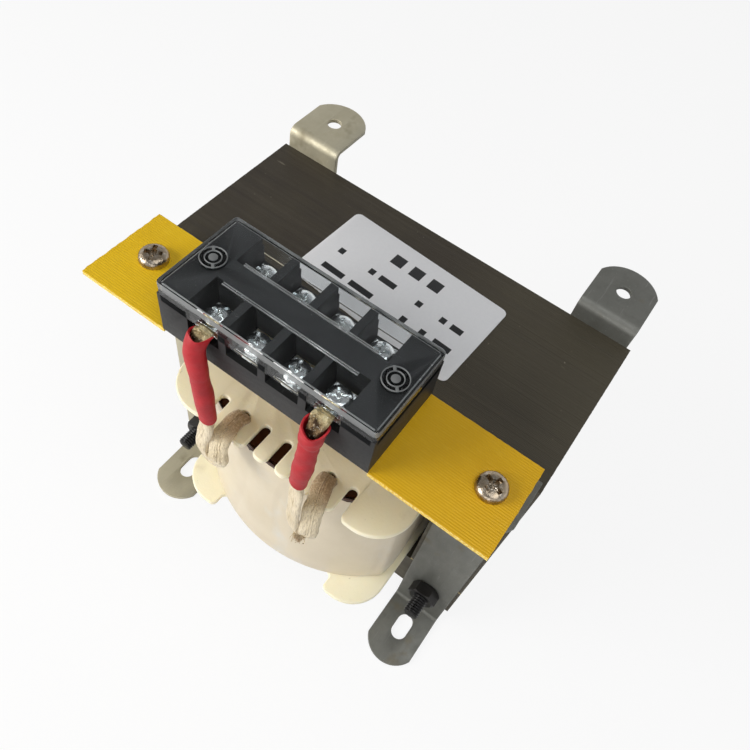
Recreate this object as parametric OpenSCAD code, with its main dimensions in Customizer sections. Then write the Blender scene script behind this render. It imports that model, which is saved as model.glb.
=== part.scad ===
// Choke transformer: an EI core with a coil, held by four C-shaped brackets.
// +X points to the terminal side, +Y to the right of someone who faces it, +Z up.
// The origin is the centre of the four foot slots, on the mounting plane.

/* [Core] */
// Width of one outer leg of the lamination
limb = 22.2; // [20:0.1:26]
// Depth of the stack of sheets
stack_depth = 60; // [50:1:80]
// Air gap between the E legs and the I stack
air_gap = 1; // [0.5:0.1:2]
// Diameter of the corner holes in the sheets
core_hole_d = 6.6; // [6.2:0.1:8]

/* [Brackets] */
// Thickness of the bracket sheet
sheet = 1.5; // [1:0.1:2]
// Width of a bracket
bracket_w = 19.6; // [17:0.1:20]
// Height of the core above the mounting plane
core_lift = 12.4; // [10:0.1:16]
// Height of the top tongues above the core
tongue_rise = 7.6; // [7:0.1:12]
// Reach of a top tongue from the core face
tongue_reach = 22.6; // [20:0.1:28]
// Reach of a foot from the core face
foot_reach = 27.6; // [24:0.1:32]
// Outer radius of the bends
bend_r = 3; // [2.2:0.1:4]
// Radius of the rounded tongue ends
tip_r = 10.8; // [10.2:0.1:14]
// Distance of the tongue holes and foot slots from the core face
hole_reach = 12; // [11.4:0.1:13]
// Diameter of the top tongue holes
tongue_hole_d = 4.8; // [4.4:0.1:5.5]
// Width of the foot slots
slot_w = 6.2; // [5:0.1:7]
// Length of the foot slots
slot_l = 10.8; // [8:0.1:13]

/* [Clamp bolts] */
// Thread diameter of the clamp bolts
bolt_d = 6; // [5:0.1:6]
// Length of the clamp bolts below the head
bolt_l = 75; // [70:0.5:100]
// Width across flats of the clamp heads and nuts
bolt_af = 10; // [9:0.1:10.4]
// Height of the clamp bolt heads
bolt_head_h = 4; // [3:0.1:5]
// Height of the clamp nuts
bolt_nut_h = 5; // [4:0.1:6]

/* [Bobbin] */
// Clearance of the bobbin around the centre leg
leg_gap = 0.3; // [0.2:0.05:0.6]
// Wall of the bobbin tube
tube_wall = 1.6; // [1.2:0.1:2.5]
// Thickness of the bobbin cheeks
cheek_t = 2; // [1.5:0.1:3]
// Gap between the cheeks and the outer legs
cheek_side_gap = 1.8; // [0.8:0.1:3]
// Gap above the upper cheek
cheek_top_gap = 0.6; // [0.3:0.1:1]
// Reach of the cheeks from the core's front face
cheek_reach = 29.3; // [28:0.1:34]
// Reach of the cheeks from the core's rear face
rear_cheek_reach = 21; // [20:0.1:34]
// Corner radius of the cheeks
cheek_r = 13; // [10:0.5:16]
// Number of lead slots on each side of the upper cheek
lead_slots = 7; // [3:2:9]
// Pitch of the lead slots
lead_slot_pitch = 8; // [7:0.1:9]
// Width of the lead slots
lead_slot_w = 3; // [2.8:0.1:3.6]
// Length of the lead slots, from the edge of the cheek
lead_slot_l = 10.3; // [8:0.1:12]
// Radius of the corners at the mouths of the lead slots
mouth_r = 2; // [0.5:0.1:2.2]
// Half width of the recess in the lower cheek
recess_half = 25; // [20:0.5:28]
// Depth of the recess in the lower cheek
recess_depth = 6; // [3:0.1:8]

/* [Coil] */
// Reach of the wrapped coil from the core's front face
coil_reach = 28; // [24:0.1:28.5]
// Reach of the wrapped coil from the core's rear face
rear_coil_reach = 19.5; // [18:0.1:20]
// Gap between the coil and the sides of the cheeks
coil_side_gap = 1.8; // [1:0.1:3]
// Corner radius of the wrapped coil
coil_r = 24; // [16:0.5:26]
// Thickness of the outer wrap
wrap_t = 0.8; // [0.4:0.1:1.5]

/* [Terminal board] */
// Reach of the board beyond its screw holes
board_end = 9.75; // [8.5:0.05:11]
// Width of the board
board_w = 29.2; // [27:0.1:31]
// Thickness of the board
board_t = 1.5; // [1.2:0.1:2.5]
// How far the board reaches back over the core face
board_lap = 1.5; // [0:0.1:3]
// Sideways shift of the board
board_shift = -1.4; // [-2:0.1:2]
// Thread diameter of the board screws
board_screw_d = 4; // [3.5:0.1:4.4]
// Length of the board screws below the head
board_screw_l = 8; // [7:0.5:10]
// Diameter of the board screw heads
board_head_d = 8; // [7:0.1:9]
// Height of the board screw heads
board_head_h = 2.8; // [2:0.1:3.2]
// Width across flats of the board nuts
board_nut_af = 7; // [6.5:0.1:8]
// Height of the board nuts
board_nut_h = 3.2; // [2.4:0.1:3.6]

/* [Terminal block] */
// Number of ways
ways = 4; // [2:1:4]
// Pitch of the ways
way_pitch = 12.3; // [11.8:0.1:12.5]
// Length of each solid end of the block
block_end = 8.5; // [8:0.1:10]
// Width of the block
block_w = 29.5; // [29:0.1:31]
// Height of the block
block_h = 18.3; // [17:0.1:20]
// Distance of the block's middle from the core face
block_reach = 13; // [12:0.1:14.5]
// Sideways shift of the block
block_shift = -3.8; // [-5:0.1:5]
// Thickness of the barriers between the ways
barrier = 2.4; // [2:0.1:3]
// Width of the ridge between the two rows
ridge_w = 7; // [6:0.1:8]
// Height of the pocket floors
floor_h = 8.6; // [7:0.1:9]
// Distance of a screw row from the middle of the block
row_reach = 8.7; // [8.5:0.1:9.5]
// Depth of the threads below the pocket floors
thread_depth = 5; // [3:0.1:6]
// Distance of the end holes from the ends of the block
end_hole_in = 5.3; // [5:0.1:5.5]
// Width of the through bars
bar_w = 8.4; // [7:0.1:9]
// Thickness of the through bars
bar_t = 0.8; // [0.6:0.1:1.5]
// Side of the square clamp plates
clamp_w = 7.6; // [7:0.1:8.4]
// Thickness of the clamp plates
clamp_t = 1; // [0.8:0.1:1.5]
// Thread diameter of the terminal screws
screw_d = 3.5; // [3:0.1:4]
// Diameter of the terminal screw heads
screw_head_d = 6.2; // [5.6:0.1:6.8]
// Height of the terminal screw heads
screw_head_h = 2.4; // [2:0.1:2.6]
// Thread diameter of the block's own screws
block_screw_d = 3; // [2.5:0.1:3.4]
// Diameter of the heads of the block's own screws
block_head_d = 5.6; // [5:0.1:5.6]
// Height of the heads of the block's own screws
block_head_h = 2.2; // [1.8:0.1:2.6]
// Height of the seats of the block's own screws
block_seat_h = 8; // [6:0.1:10]
// Width across flats of the block nuts
block_nut_af = 5.5; // [5:0.1:6]
// Height of the block nuts
block_nut_h = 2.4; // [2:0.1:3]
// Reach of the block's own screws below their nuts
block_screw_out = 1; // [0.5:0.1:3]

/* [Terminal cover] */
// Thickness of the clear cover
cover_t = 1; // [0.8:0.1:1.5]
// Depth of the cover's turned-down rim
rim_h = 3.2; // [2:0.1:4]
// Clearance between the rim and the block
rim_gap = 0.1; // [0.05:0.05:0.2]
// Outer diameter of the cover's posts
post_d = 7; // [6.8:0.1:7.2]
// Wall of the cover's posts
post_wall = 0.8; // [0.6:0.1:1]
// Length of the cover's posts
post_l = 6; // [4:0.1:7]
// Clearance between the posts and the end holes
post_gap = 0.1; // [0.05:0.05:0.3]
// Length of the two raised lines on the cover
line_l = 41; // [30:1:46]
// Width of the raised lines
line_w = 1; // [0.6:0.1:1.6]
// Height of the raised lines
line_h = 0.3; // [0.2:0.1:0.5]
// Distance between the raised lines
line_pitch = 8; // [6:0.1:10]
// Distance of the raised lines' middle from the block's middle, to the front
line_shift = 0.7; // [-2:0.1:2]

/* [Label] */
// Length of the rating label
label_l = 59; // [50:1:64]
// Width of the rating label
label_w = 34.6; // [30:0.1:40]
// Thickness of the rating label
label_t = 0.2; // [0.1:0.05:0.4]
// Corner radius of the rating label
label_r = 2; // [1:0.1:4]
// Angle at which the label was stuck on
label_turn = -3; // [-5:0.5:5]
// Distance of the label's middle behind the core's middle
label_back = 1.4; // [0:0.1:8]

/* [Leads] */
// Diameter of the braided sleeves
sleeve_d = 4; // [3.6:0.1:4]
// Diameter of the sleeves where they are squeezed into their slots
squeezed_d = 2.8; // [2:0.1:2.8]
// Outer diameter of the shrink tubes
shrink_d = 5.6; // [5:0.1:6]
// Thickness of the ring lugs
lug_t = 0.8; // [0.6:0.1:1]
// Width of the ring lugs
lug_w = 7.4; // [6.8:0.1:7.6]
// Length of the flat part of the lugs, from the screw
lug_neck = 5.6; // [5:0.1:6]
// Width of the neck of the lugs
lug_neck_w = 4.4; // [3.6:0.1:5]
// Clearance between a shrink tube and its sleeve
shrink_gap = 0.1; // [0.05:0.05:0.2]

/* [Hidden] */
$fn = 64;

// Core: legs of one limb, a centre leg of two, windows of one by three
core_w = 6 * limb;
core_h = 5 * limb + air_gap;
core_x = stack_depth / 2;
core_top = core_lift + core_h;
i_top = core_lift + limb;
window_top = core_top - limb;
hole_y = core_w / 2 - limb / 2;
hole_zs = [core_lift + limb / 2, core_top - limb / 2];

// Brackets
bracket_h = core_top + tongue_rise;
foot_x = core_x + hole_reach;

// Bobbin and coil
leg_x = core_x + leg_gap;
leg_y = limb + leg_gap;
cheek_x = core_x + cheek_reach;
rear_cheek_x = core_x + rear_cheek_reach;
cheek_ends = [[0, cheek_x], [180, rear_cheek_x]];
cheek_y = 2 * limb - cheek_side_gap;
bobbin_h = window_top - i_top - cheek_top_gap;
cheek_top = i_top + bobbin_h;
coil_x = core_x + coil_reach;
rear_coil_x = core_x + rear_coil_reach;
coil_y = cheek_y - coil_side_gap;
coil_z = i_top + cheek_t;
coil_h = bobbin_h - 2 * cheek_t;

// Terminal board and block
board_z = bracket_h;
board_x = core_x - board_lap + board_w / 2;
board_top = board_z + board_t;
board_l = 2 * (hole_y + board_end);
block_l = ways * way_pitch + 2 * block_end;
block_x = core_x + block_reach;
block_top = board_top + block_h;
floor_z = board_top + floor_h;
bar_top = floor_z + bar_t;
block_face = block_x + block_w / 2;
way_ys = [for (i = [0 : ways - 1]) block_shift + (i - (ways - 1) / 2) * way_pitch];
end_y = block_l / 2 - end_hole_in;
pocket_w = way_pitch - barrier;
rebate = cover_t + rim_gap;

// Leads
wired_x = block_x + row_reach;
barrel_z = bar_top + sleeve_d / 2 + 0.1;

// Points of a lead: reach beyond the cheek in sleeve diameters, place across in slot pitches,
// and rise as a fraction of the way from the upper cheek to the terminals
function along(steps) = [for (s = steps)
    [cheek_x + s[0] * sleeve_d, s[1] * lead_slot_pitch, cheek_top + s[2] * (barrel_z - cheek_top)]];

// Out of the coil through a slot of the upper cheek
function from_coil(slot) = [for (rise = [0, 0.25, 0.55])
    [cheek_x - 2 * sleeve_d, slot * lead_slot_pitch, coil_z + coil_h + rise * sleeve_d]];

// Up in front of the block and in to a lug: reach beyond the block, place across and drop below
// the barrel, in sleeve diameters
function to_lug(steps, way_y) = concat([for (s = steps)
    [block_face + s[0] * sleeve_d, way_y + s[1] * sleeve_d, barrel_z - s[2] * sleeve_d]],
    [[wired_x + 1.1 * sleeve_d, way_y, barrel_z]]);

left_route = concat(from_coil(-2), along([
    [-1.2, -2, 0.058], [0.05, -1.96, 0.058], [0.72, -1.91, 0.023], [1.12, -1.88, -0.094],
    [1.32, -1.86, -0.21], [1.3, -2.16, -0.286], [1.2, -2.46, -0.21], [1.02, -2.48, -0.037],
    [0.87, -2.4, 0.124], [0.8, -2.35, 0.263], [0.72, -2.42, 0.447]
]), to_lug([[1.01, 0.41, 3.75], [0.94, 0.16, 2.25], [0.81, 0, 1.05], [0.36, 0, 0.18]], way_ys[0]));
right_route = concat(from_coil(2), along([
    [-1.2, 2.05, 0.058], [0.05, 2.23, 0.058], [0.72, 2.33, 0.023], [1.08, 2.38, -0.106],
    [1.28, 2.38, -0.244], [1.28, 2.06, -0.332], [1.3, 1.75, -0.256], [1.35, 1.73, -0.06],
    [1.32, 1.75, 0.171], [1.25, 1.77, 0.401]
]), to_lug([[1.41, 0, 4.5], [1.11, 0, 2.63], [0.84, 0, 1.15], [0.36, 0, 0.2]], way_ys[ways - 1]));
slot_marks = 2;
lead_steps = 2;
lead_sides = 12;
left_marks = [12, 15, 16];
right_marks = [12, 14, 15];

function unit(v) = v / norm(v);

// A smooth curve through the points, with lead_steps pieces for each span
function smooth(p) = concat(
    [for (i = [0 : len(p) - 2], k = [0 : lead_steps - 1]) spline(p, i, k / lead_steps)],
    [p[len(p) - 1]]
);

function spline(p, i, t) =
    let (a = p[max(i - 1, 0)], b = p[i], c = p[i + 1], d = p[min(i + 2, len(p) - 1)])
    (2 * b + (c - a) * t + (2 * a - 5 * b + 4 * c - d) * t ^ 2 + (3 * b - a - 3 * c + d) * t ^ 3) / 2;

function tangent(p, i) = unit(p[min(i + 1, len(p) - 1)] - p[max(i - 1, 0)]);

// A direction square to the curve, carried along it without twist
function across(p) = [
    for (i = 0, n = [0, 1, 0]; i < len(p);
        i = i + 1, n = i < len(p) ? unit(n - (n * tangent(p, i)) * tangent(p, i)) : n) n
];

function ring(c, t, n, r) = [
    for (k = [0 : lead_sides - 1])
        let (a = k * 360 / lead_sides)
        c + r * (cos(a) * n + sin(a) * cross(t, n))
];

// Triangles between two rings of the same number of points
function band(a, b) = [
    for (k = [0 : lead_sides - 1])
        let (l = (k + 1) % lead_sides)
        each [[a + k, b + k, b + l], [a + k, b + l, a + l]]
];

// A round rod along the curve p, between two of its points, thinner up to the point neck
module rod(p, first, last, d, neck = -1, neck_d = 0) {
    ns = across(p);
    rings = [for (i = [first : last]) ring(p[i], tangent(p, i), ns[i], (i <= neck ? neck_d : d) / 2)];
    count = len(rings);
    polyhedron(
        points = [for (r = rings) each r],
        faces = concat(
            [[for (k = [0 : lead_sides - 1]) k]],
            [for (i = [0 : count - 2]) each band(i * lead_sides, (i + 1) * lead_sides)],
            [[for (k = [lead_sides - 1 : -1 : 0]) (count - 1) * lead_sides + k]]
        ),
        convexity = 6
    );
}

// A tube along the curve p, between two of its points
module tube(p, first, last, d, bore) {
    ns = across(p);
    outer = [for (i = [first : last]) ring(p[i], tangent(p, i), ns[i], d / 2)];
    inner = [for (i = [last : -1 : first]) ring(p[i], tangent(p, i), ns[i], bore / 2)];
    rings = concat(outer, inner);
    count = len(rings);
    polyhedron(
        points = [for (r = rings) each r],
        faces = [for (i = [0 : count - 1]) each band(i * lead_sides, ((i + 1) % count) * lead_sides)],
        convexity = 6
    );
}

// A flat plate with round corners, centred, standing on z = 0
module round_plate(x, y, r, h) {
    linear_extrude(h) {
        square([2 * x, 2 * (y - r)], center = true);
        square([2 * (x - r), 2 * y], center = true);
        for (sx = [-1, 1], sy = [-1, 1]) translate([sx * (x - r), sy * (y - r)]) circle(r);
    }
}

// A hexagon prism across flats
module hexagon(af, h) {
    cylinder(d = af / cos(30), h = h, $fn = 6);
}

// Places its children at the four corner holes, seen along +X
module at_core_holes() {
    for (y = [-hole_y, hole_y], z = hole_zs) translate([0, y, z]) children();
}

// Places its children at one height above the board's two screw holes
module at_board_holes(z) {
    for (y = [-hole_y, hole_y]) translate([foot_x, y, z]) children();
}

// Places its children at each terminal: 8 places in two rows
module at_terminals() {
    for (way = [0 : ways - 1], row = [-1, 1])
        translate([block_x + row * row_reach, way_ys[way], bar_top]) {
            $raised = row > 0 && (way == 0 || way == ways - 1) ? lug_t : 0;
            children();
        }
}

// Places its children at the block's two end holes
module at_block_ends(z) {
    for (y = [-end_y, end_y]) translate([block_x, block_shift + y, z]) children();
}

module core_holes() {
    at_core_holes()
        translate([-core_x - 1, 0, 0]) rotate([0, 90, 0]) cylinder(d = core_hole_d, h = stack_depth + 2);
}

module e_stack() {
    color("#4a443c") difference() {
        union() {
            translate([-core_x, -core_w / 2, window_top]) cube([stack_depth, core_w, limb]);
            for (leg = [[-3 * limb, limb], [-limb, 2 * limb], [2 * limb, limb]])
                translate([-core_x, leg[0], i_top + air_gap])
                    cube([stack_depth, leg[1], window_top - i_top - air_gap + 1]);
        }
        core_holes();
    }
}

module i_stack() {
    color("#4a443c") difference() {
        translate([-core_x, -core_w / 2, core_lift]) cube([stack_depth, core_w, limb]);
        core_holes();
    }
}

module gap_shims() {
    color("#b9a678")
        for (leg = [[-3 * limb, limb], [-limb, 2 * limb], [2 * limb, limb]])
            translate([-core_x, leg[0], i_top]) cube([stack_depth, leg[1], air_gap]);
}

module bobbin() {
    color("#e8dfc2") difference() {
        translate([0, 0, i_top]) {
            translate([-leg_x - tube_wall, -leg_y - tube_wall, 0])
                cube([2 * (leg_x + tube_wall), 2 * (leg_y + tube_wall), bobbin_h]);
            for (z = [0, bobbin_h - cheek_t])
                translate([(cheek_x - rear_cheek_x) / 2, 0, z])
                    round_plate((cheek_x + rear_cheek_x) / 2, cheek_y, cheek_r, cheek_t);
        }
        translate([-leg_x, -leg_y, i_top - 1]) cube([2 * leg_x, 2 * leg_y, bobbin_h + 2]);
        lead_slot_cuts();
        for (end = cheek_ends)
            rotate(end[0]) translate([end[1], 0, i_top - 1]) {
                translate([-recess_depth, -recess_half, 0])
                    cube([recess_depth + 1, 2 * recess_half, cheek_t + 2]);
                mouth_cuts(recess_half);
            }
    }
}

module lead_slot_cuts() {
    inner = lead_slot_w / 2 - lead_slot_l;
    for (i = [0 : lead_slots - 1], end = cheek_ends)
        rotate(end[0])
            translate([end[1], (i - (lead_slots - 1) / 2) * lead_slot_pitch, cheek_top - cheek_t - 1]) {
                translate([inner, 0, 0]) cylinder(d = lead_slot_w, h = cheek_t + 2);
                translate([inner, -lead_slot_w / 2, 0]) cube([lead_slot_l, lead_slot_w, cheek_t + 2]);
                mouth_cuts(lead_slot_w / 2);
            }
}

// Rounds off the two corners where an opening of this half width meets the edge of a cheek
module mouth_cuts(half) {
    for (side = [0, 1]) mirror([0, side, 0]) translate([-mouth_r, half, 0]) difference() {
        cube([mouth_r + 1, mouth_r, cheek_t + 2]);
        translate([0, mouth_r, -1]) cylinder(r = mouth_r, h = cheek_t + 4);
    }
}

// The coil's form, this far in from its outer face: bulging in front, tight behind
module coil_form(inset, h) {
    intersection() {
        translate([(coil_x - rear_coil_x) / 2, 0, 0])
            round_plate((coil_x + rear_coil_x) / 2 - inset, coil_y - inset, coil_r - inset, h);
        cylinder(r = coil_x - inset, h = h);
    }
}

module winding() {
    color("#a85c2c") translate([0, 0, coil_z]) difference() {
        coil_form(wrap_t, coil_h);
        translate([-leg_x - tube_wall, -leg_y - tube_wall, -1])
            cube([2 * (leg_x + tube_wall), 2 * (leg_y + tube_wall), coil_h + 2]);
    }
}

module coil_wrap() {
    color("#e6dccb") translate([0, 0, coil_z]) difference() {
        coil_form(0, coil_h);
        translate([0, 0, -1]) coil_form(wrap_t, coil_h + 2);
    }
}

// A quarter of a bend, from the upright to a tongue: centre at the origin
module bend() {
    rotate([90, 0, 0]) translate([0, 0, -bracket_w / 2]) difference() {
        intersection() {
            cylinder(r = bend_r, h = bracket_w);
            translate([-bend_r, -bend_r, 0]) cube([bend_r, bend_r, bracket_w]);
        }
        translate([0, 0, -1]) cylinder(r = bend_r - sheet, h = bracket_w + 2);
    }
}

// A tongue along +X from its bend, with a rounded tip
module tongue(reach) {
    intersection() {
        translate([bend_r, -bracket_w / 2, 0]) cube([reach - bend_r, bracket_w, sheet]);
        union() {
            translate([reach - tip_r, 0, -1]) cylinder(r = tip_r, h = sheet + 2);
            translate([0, -bracket_w / 2, -1])
                cube([reach - tip_r, bracket_w, sheet + 2]);
        }
    }
}

// One bracket on the front of the right leg, its back on the plane x = 0
module bracket() {
    difference() {
        union() {
            translate([0, -bracket_w / 2, bend_r]) cube([sheet, bracket_w, bracket_h - 2 * bend_r]);
            translate([bend_r, 0, bend_r]) bend();
            translate([bend_r, 0, bracket_h - bend_r]) mirror([0, 0, 1]) bend();
            tongue(foot_reach);
            translate([0, 0, bracket_h - sheet]) tongue(tongue_reach);
        }
        translate([hole_reach, 0, bracket_h - sheet - 1]) cylinder(d = tongue_hole_d, h = sheet + 2);
        foot_slot();
        for (z = hole_zs)
            translate([-1, 0, z]) rotate([0, 90, 0]) cylinder(d = core_hole_d, h = sheet + 2);
    }
}

module foot_slot() {
    straight = slot_l - slot_w;
    translate([hole_reach, 0, -1]) {
        for (x = [-straight / 2, straight / 2]) translate([x, 0, 0]) cylinder(d = slot_w, h = sheet + 2);
        translate([-straight / 2, -slot_w / 2, 0]) cube([straight, slot_w, sheet + 2]);
    }
}

module bracket_front_left() {
    color("#8d9091") translate([core_x, -hole_y, 0]) bracket();
}

module bracket_front_right() {
    color("#8d9091") translate([core_x, hole_y, 0]) bracket();
}

module bracket_rear_left() {
    color("#8d9091") translate([-core_x, -hole_y, 0]) rotate(180) bracket();
}

module bracket_rear_right() {
    color("#8d9091") translate([-core_x, hole_y, 0]) rotate(180) bracket();
}

module clamp_bolts() {
    head_x = -core_x - sheet;
    color("#1c1c1e") at_core_holes() {
        translate([head_x, 0, 0]) rotate([0, 90, 0]) cylinder(d = bolt_d, h = bolt_l);
        translate([head_x - bolt_head_h, 0, 0]) rotate([0, 90, 0]) hexagon(bolt_af, bolt_head_h);
    }
}

module clamp_nuts() {
    color("#1c1c1e") at_core_holes()
        translate([core_x + sheet, 0, 0]) rotate([0, 90, 0]) difference() {
            hexagon(bolt_af, bolt_nut_h);
            translate([0, 0, -1]) cylinder(d = bolt_d, h = bolt_nut_h + 2);
        }
}

module terminal_board() {
    color("#e3c02c") difference() {
        translate([board_x, board_shift, board_z + board_t / 2])
            cube([board_w, board_l, board_t], center = true);
        at_board_holes(board_z - 1) cylinder(d = board_screw_d, h = board_t + 2);
        at_block_ends(board_z - 1) cylinder(d = block_screw_d, h = board_t + 2);
    }
}

module board_screws() {
    color("#a39a88") at_board_holes(board_top) {
        translate([0, 0, -board_screw_l]) cylinder(d = board_screw_d, h = board_screw_l);
        pan_head(board_head_d, board_head_h);
    }
}

// A pan head with a cross recess
module pan_head(d, h) {
    arm = d / 7;
    difference() {
        union() {
            cylinder(d = d, h = h * 0.55);
            translate([0, 0, h * 0.55]) cylinder(d1 = d, d2 = d * 0.62, h = h * 0.45);
        }
        for (turn = [0, 90])
            rotate(turn) translate([-d / 3.6, -arm / 2, h * 0.45]) cube([d / 1.8, arm, h]);
    }
}

module board_nuts() {
    color("#a39a88") at_board_holes(board_z - sheet - board_nut_h) difference() {
        hexagon(board_nut_af, board_nut_h);
        translate([0, 0, -1]) cylinder(d = board_screw_d, h = board_nut_h + 2);
    }
}

module terminal_block() {
    color("#2b2b2d") difference() {
        translate([block_x, block_shift, board_top + block_h / 2])
            cube([block_w, block_l, block_h], center = true);
        at_terminals()
            translate([0, 0, -thread_depth - bar_t]) cylinder(d = screw_d, h = thread_depth + bar_t + 1);
        pocket_cuts();
        bar_tunnels();
        rim_rebate();
        at_block_ends(board_top - 1) cylinder(d = block_screw_d, h = block_h);
        at_block_ends(board_top + block_seat_h) cylinder(d = post_d + 2 * post_gap, h = block_h);
    }
}

module pocket_cuts() {
    pocket_l = (block_w - ridge_w) / 2;
    for (y = way_ys, side = [-1, 1])
        translate([block_x + side * (ridge_w + pocket_l + 1) / 2, y, floor_z + block_h / 2])
            cube([pocket_l + 1, pocket_w, block_h], center = true);
}

module bar_tunnels() {
    for (y = way_ys)
        translate([block_x, y, floor_z + bar_t / 2]) cube([ridge_w + 1, bar_w, bar_t], center = true);
}

// The step that the cover's rim hangs in, all round the top
module rim_rebate() {
    translate([block_x, block_shift, block_top - rim_h / 2 - rim_gap / 2]) difference() {
        cube([block_w + 1, block_l + 1, rim_h + rim_gap], center = true);
        cube([block_w - 2 * rebate, block_l - 2 * rebate, rim_h + 1], center = true);
    }
}

module terminal_bars() {
    bar_l = 2 * row_reach + clamp_w;
    color("#c9b37a") difference() {
        for (y = way_ys)
            translate([block_x, y, floor_z + bar_t / 2]) cube([bar_l, bar_w, bar_t], center = true);
        at_terminals() translate([0, 0, -bar_t - 1]) cylinder(d = screw_d, h = bar_t + 2);
    }
}

module clamp_plates() {
    color("#c8c8c4") at_terminals() translate([0, 0, $raised]) difference() {
        translate([-clamp_w / 2, -clamp_w / 2, 0]) cube([clamp_w, clamp_w, clamp_t]);
        translate([0, 0, -1]) cylinder(d = screw_d, h = clamp_t + 2);
    }
}

module terminal_screws() {
    color("#d2d2ce") at_terminals() {
        translate([0, 0, $raised + clamp_t]) pan_head(screw_head_d, screw_head_h);
        translate([0, 0, -thread_depth - bar_t])
            cylinder(d = screw_d, h = thread_depth + bar_t + clamp_t + $raised);
    }
}

module block_screws() {
    tip_z = board_z - block_nut_h - block_screw_out;
    color("#b9b9b4") at_block_ends(0) {
        translate([0, 0, tip_z]) cylinder(d = block_screw_d, h = board_top + block_seat_h - tip_z);
        translate([0, 0, board_top + block_seat_h]) pan_head(block_head_d, block_head_h);
    }
}

module block_nuts() {
    color("#b9b9b4") at_block_ends(board_z - block_nut_h) difference() {
        hexagon(block_nut_af, block_nut_h);
        translate([0, 0, -1]) cylinder(d = block_screw_d, h = block_nut_h + 2);
    }
}

module terminal_cover() {
    color("#dfe6ea", 0.35) {
        difference() {
            translate([block_x, block_shift, block_top + (cover_t - rim_h) / 2])
                cube([block_w, block_l, rim_h + cover_t], center = true);
            translate([block_x, block_shift, block_top - (rim_h + 1) / 2])
                cube([block_w - 2 * cover_t, block_l - 2 * cover_t, rim_h + 1], center = true);
        }
        at_block_ends(block_top - post_l) difference() {
            cylinder(d = post_d, h = post_l);
            translate([0, 0, -1]) cylinder(d = post_d - 2 * post_wall, h = post_l + 1);
        }
        for (x = [-line_pitch / 2, line_pitch / 2])
            translate([block_x + line_shift + x, block_shift, block_top + cover_t + line_h / 2])
                cube([line_w, line_l, line_h], center = true);
    }
}

module rating_label() {
    color("#b9bbbd") translate([-label_back, 0, core_top]) rotate(label_turn)
        round_plate(label_w / 2, label_l / 2, label_r, label_t);
}

module left_sleeve() {
    color("#e4d8bd") sleeve(left_route, left_marks);
}

module left_shrink_tube() {
    color("#b3262e") shrink_tube(left_route, left_marks);
}

module left_lug() {
    color("#b6a88a") lug(left_route, left_marks, way_ys[0]);
}

module right_sleeve() {
    color("#e4d8bd") sleeve(right_route, right_marks);
}

module right_shrink_tube() {
    color("#b3262e") shrink_tube(right_route, right_marks);
}

module right_lug() {
    color("#b6a88a") lug(right_route, right_marks, way_ys[ways - 1]);
}

// The braided sleeve, from the coil to the lug's barrel
module sleeve(route, marks) {
    rod(smooth(route), 0, marks[1] * lead_steps, sleeve_d, slot_marks * lead_steps, squeezed_d);
}

// The shrink tube over the end of the sleeve and the lug's barrel
module shrink_tube(route, marks) {
    tube(smooth(route), marks[0] * lead_steps, marks[2] * lead_steps, shrink_d, sleeve_d + 2 * shrink_gap);
}

// A ring lug on its terminal, with its barrel down into the shrink tube
module lug(route, marks, way_y) {
    difference() {
        union() {
            translate([wired_x, way_y, bar_top]) cylinder(d = lug_w, h = lug_t);
            translate([wired_x, way_y - lug_neck_w / 2, bar_top]) cube([lug_neck, lug_neck_w, lug_t]);
            rod(smooth(route), marks[1] * lead_steps, (len(route) - 1) * lead_steps, sleeve_d);
        }
        translate([wired_x, way_y, bar_top - 1]) cylinder(d = screw_d, h = lug_t + 2);
    }
}

e_stack();
i_stack();
gap_shims();
bobbin();
winding();
coil_wrap();
bracket_front_left();
bracket_front_right();
bracket_rear_left();
bracket_rear_right();
clamp_bolts();
clamp_nuts();
terminal_board();
board_screws();
board_nuts();
terminal_block();
terminal_bars();
clamp_plates();
terminal_screws();
block_screws();
block_nuts();
terminal_cover();
rating_label();
left_sleeve();
left_shrink_tube();
left_lug();
right_sleeve();
right_shrink_tube();
right_lug();
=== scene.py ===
import math
import random
import bpy
import bmesh
import numpy as np
from mathutils import Matrix, Vector, noise


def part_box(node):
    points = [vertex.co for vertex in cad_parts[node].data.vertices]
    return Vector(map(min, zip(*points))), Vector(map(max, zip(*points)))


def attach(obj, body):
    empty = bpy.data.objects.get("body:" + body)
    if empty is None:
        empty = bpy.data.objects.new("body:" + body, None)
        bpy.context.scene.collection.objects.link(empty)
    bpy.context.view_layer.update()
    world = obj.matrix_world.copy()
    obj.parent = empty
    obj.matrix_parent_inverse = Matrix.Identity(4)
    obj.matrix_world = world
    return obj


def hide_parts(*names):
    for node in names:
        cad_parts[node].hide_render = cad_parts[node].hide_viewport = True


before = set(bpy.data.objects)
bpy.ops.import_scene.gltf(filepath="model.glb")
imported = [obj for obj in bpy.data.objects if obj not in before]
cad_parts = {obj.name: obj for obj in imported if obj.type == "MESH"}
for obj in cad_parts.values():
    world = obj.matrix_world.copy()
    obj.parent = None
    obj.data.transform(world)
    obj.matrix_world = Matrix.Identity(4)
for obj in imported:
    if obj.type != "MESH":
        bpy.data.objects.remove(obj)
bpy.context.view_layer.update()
print("frame: %d nodes" % len(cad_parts))


# camera and light
view = dict(place=(0.13043, 0.05712, 0.29082), right=(-0.57176, 0.80957, 0.13299),
            up=(-0.64141, -0.54216, 0.54282), lens=34.61, sensor=36)
camera = bpy.data.objects.new("camera", bpy.data.cameras.new("camera"))
bpy.context.scene.collection.objects.link(camera)
camera.data.lens, camera.data.sensor_width = view["lens"], view["sensor"]
camera.data.clip_start, camera.data.clip_end = 0.01, 20
right, up = Vector(view["right"]).normalized(), Vector(view["up"])
back = right.cross(up).normalized()
up = back.cross(right)
camera.matrix_world = Matrix.Translation(view["place"]) @ Matrix((right, up, back)).transposed().to_4x4()
bpy.context.scene.camera = camera

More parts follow.
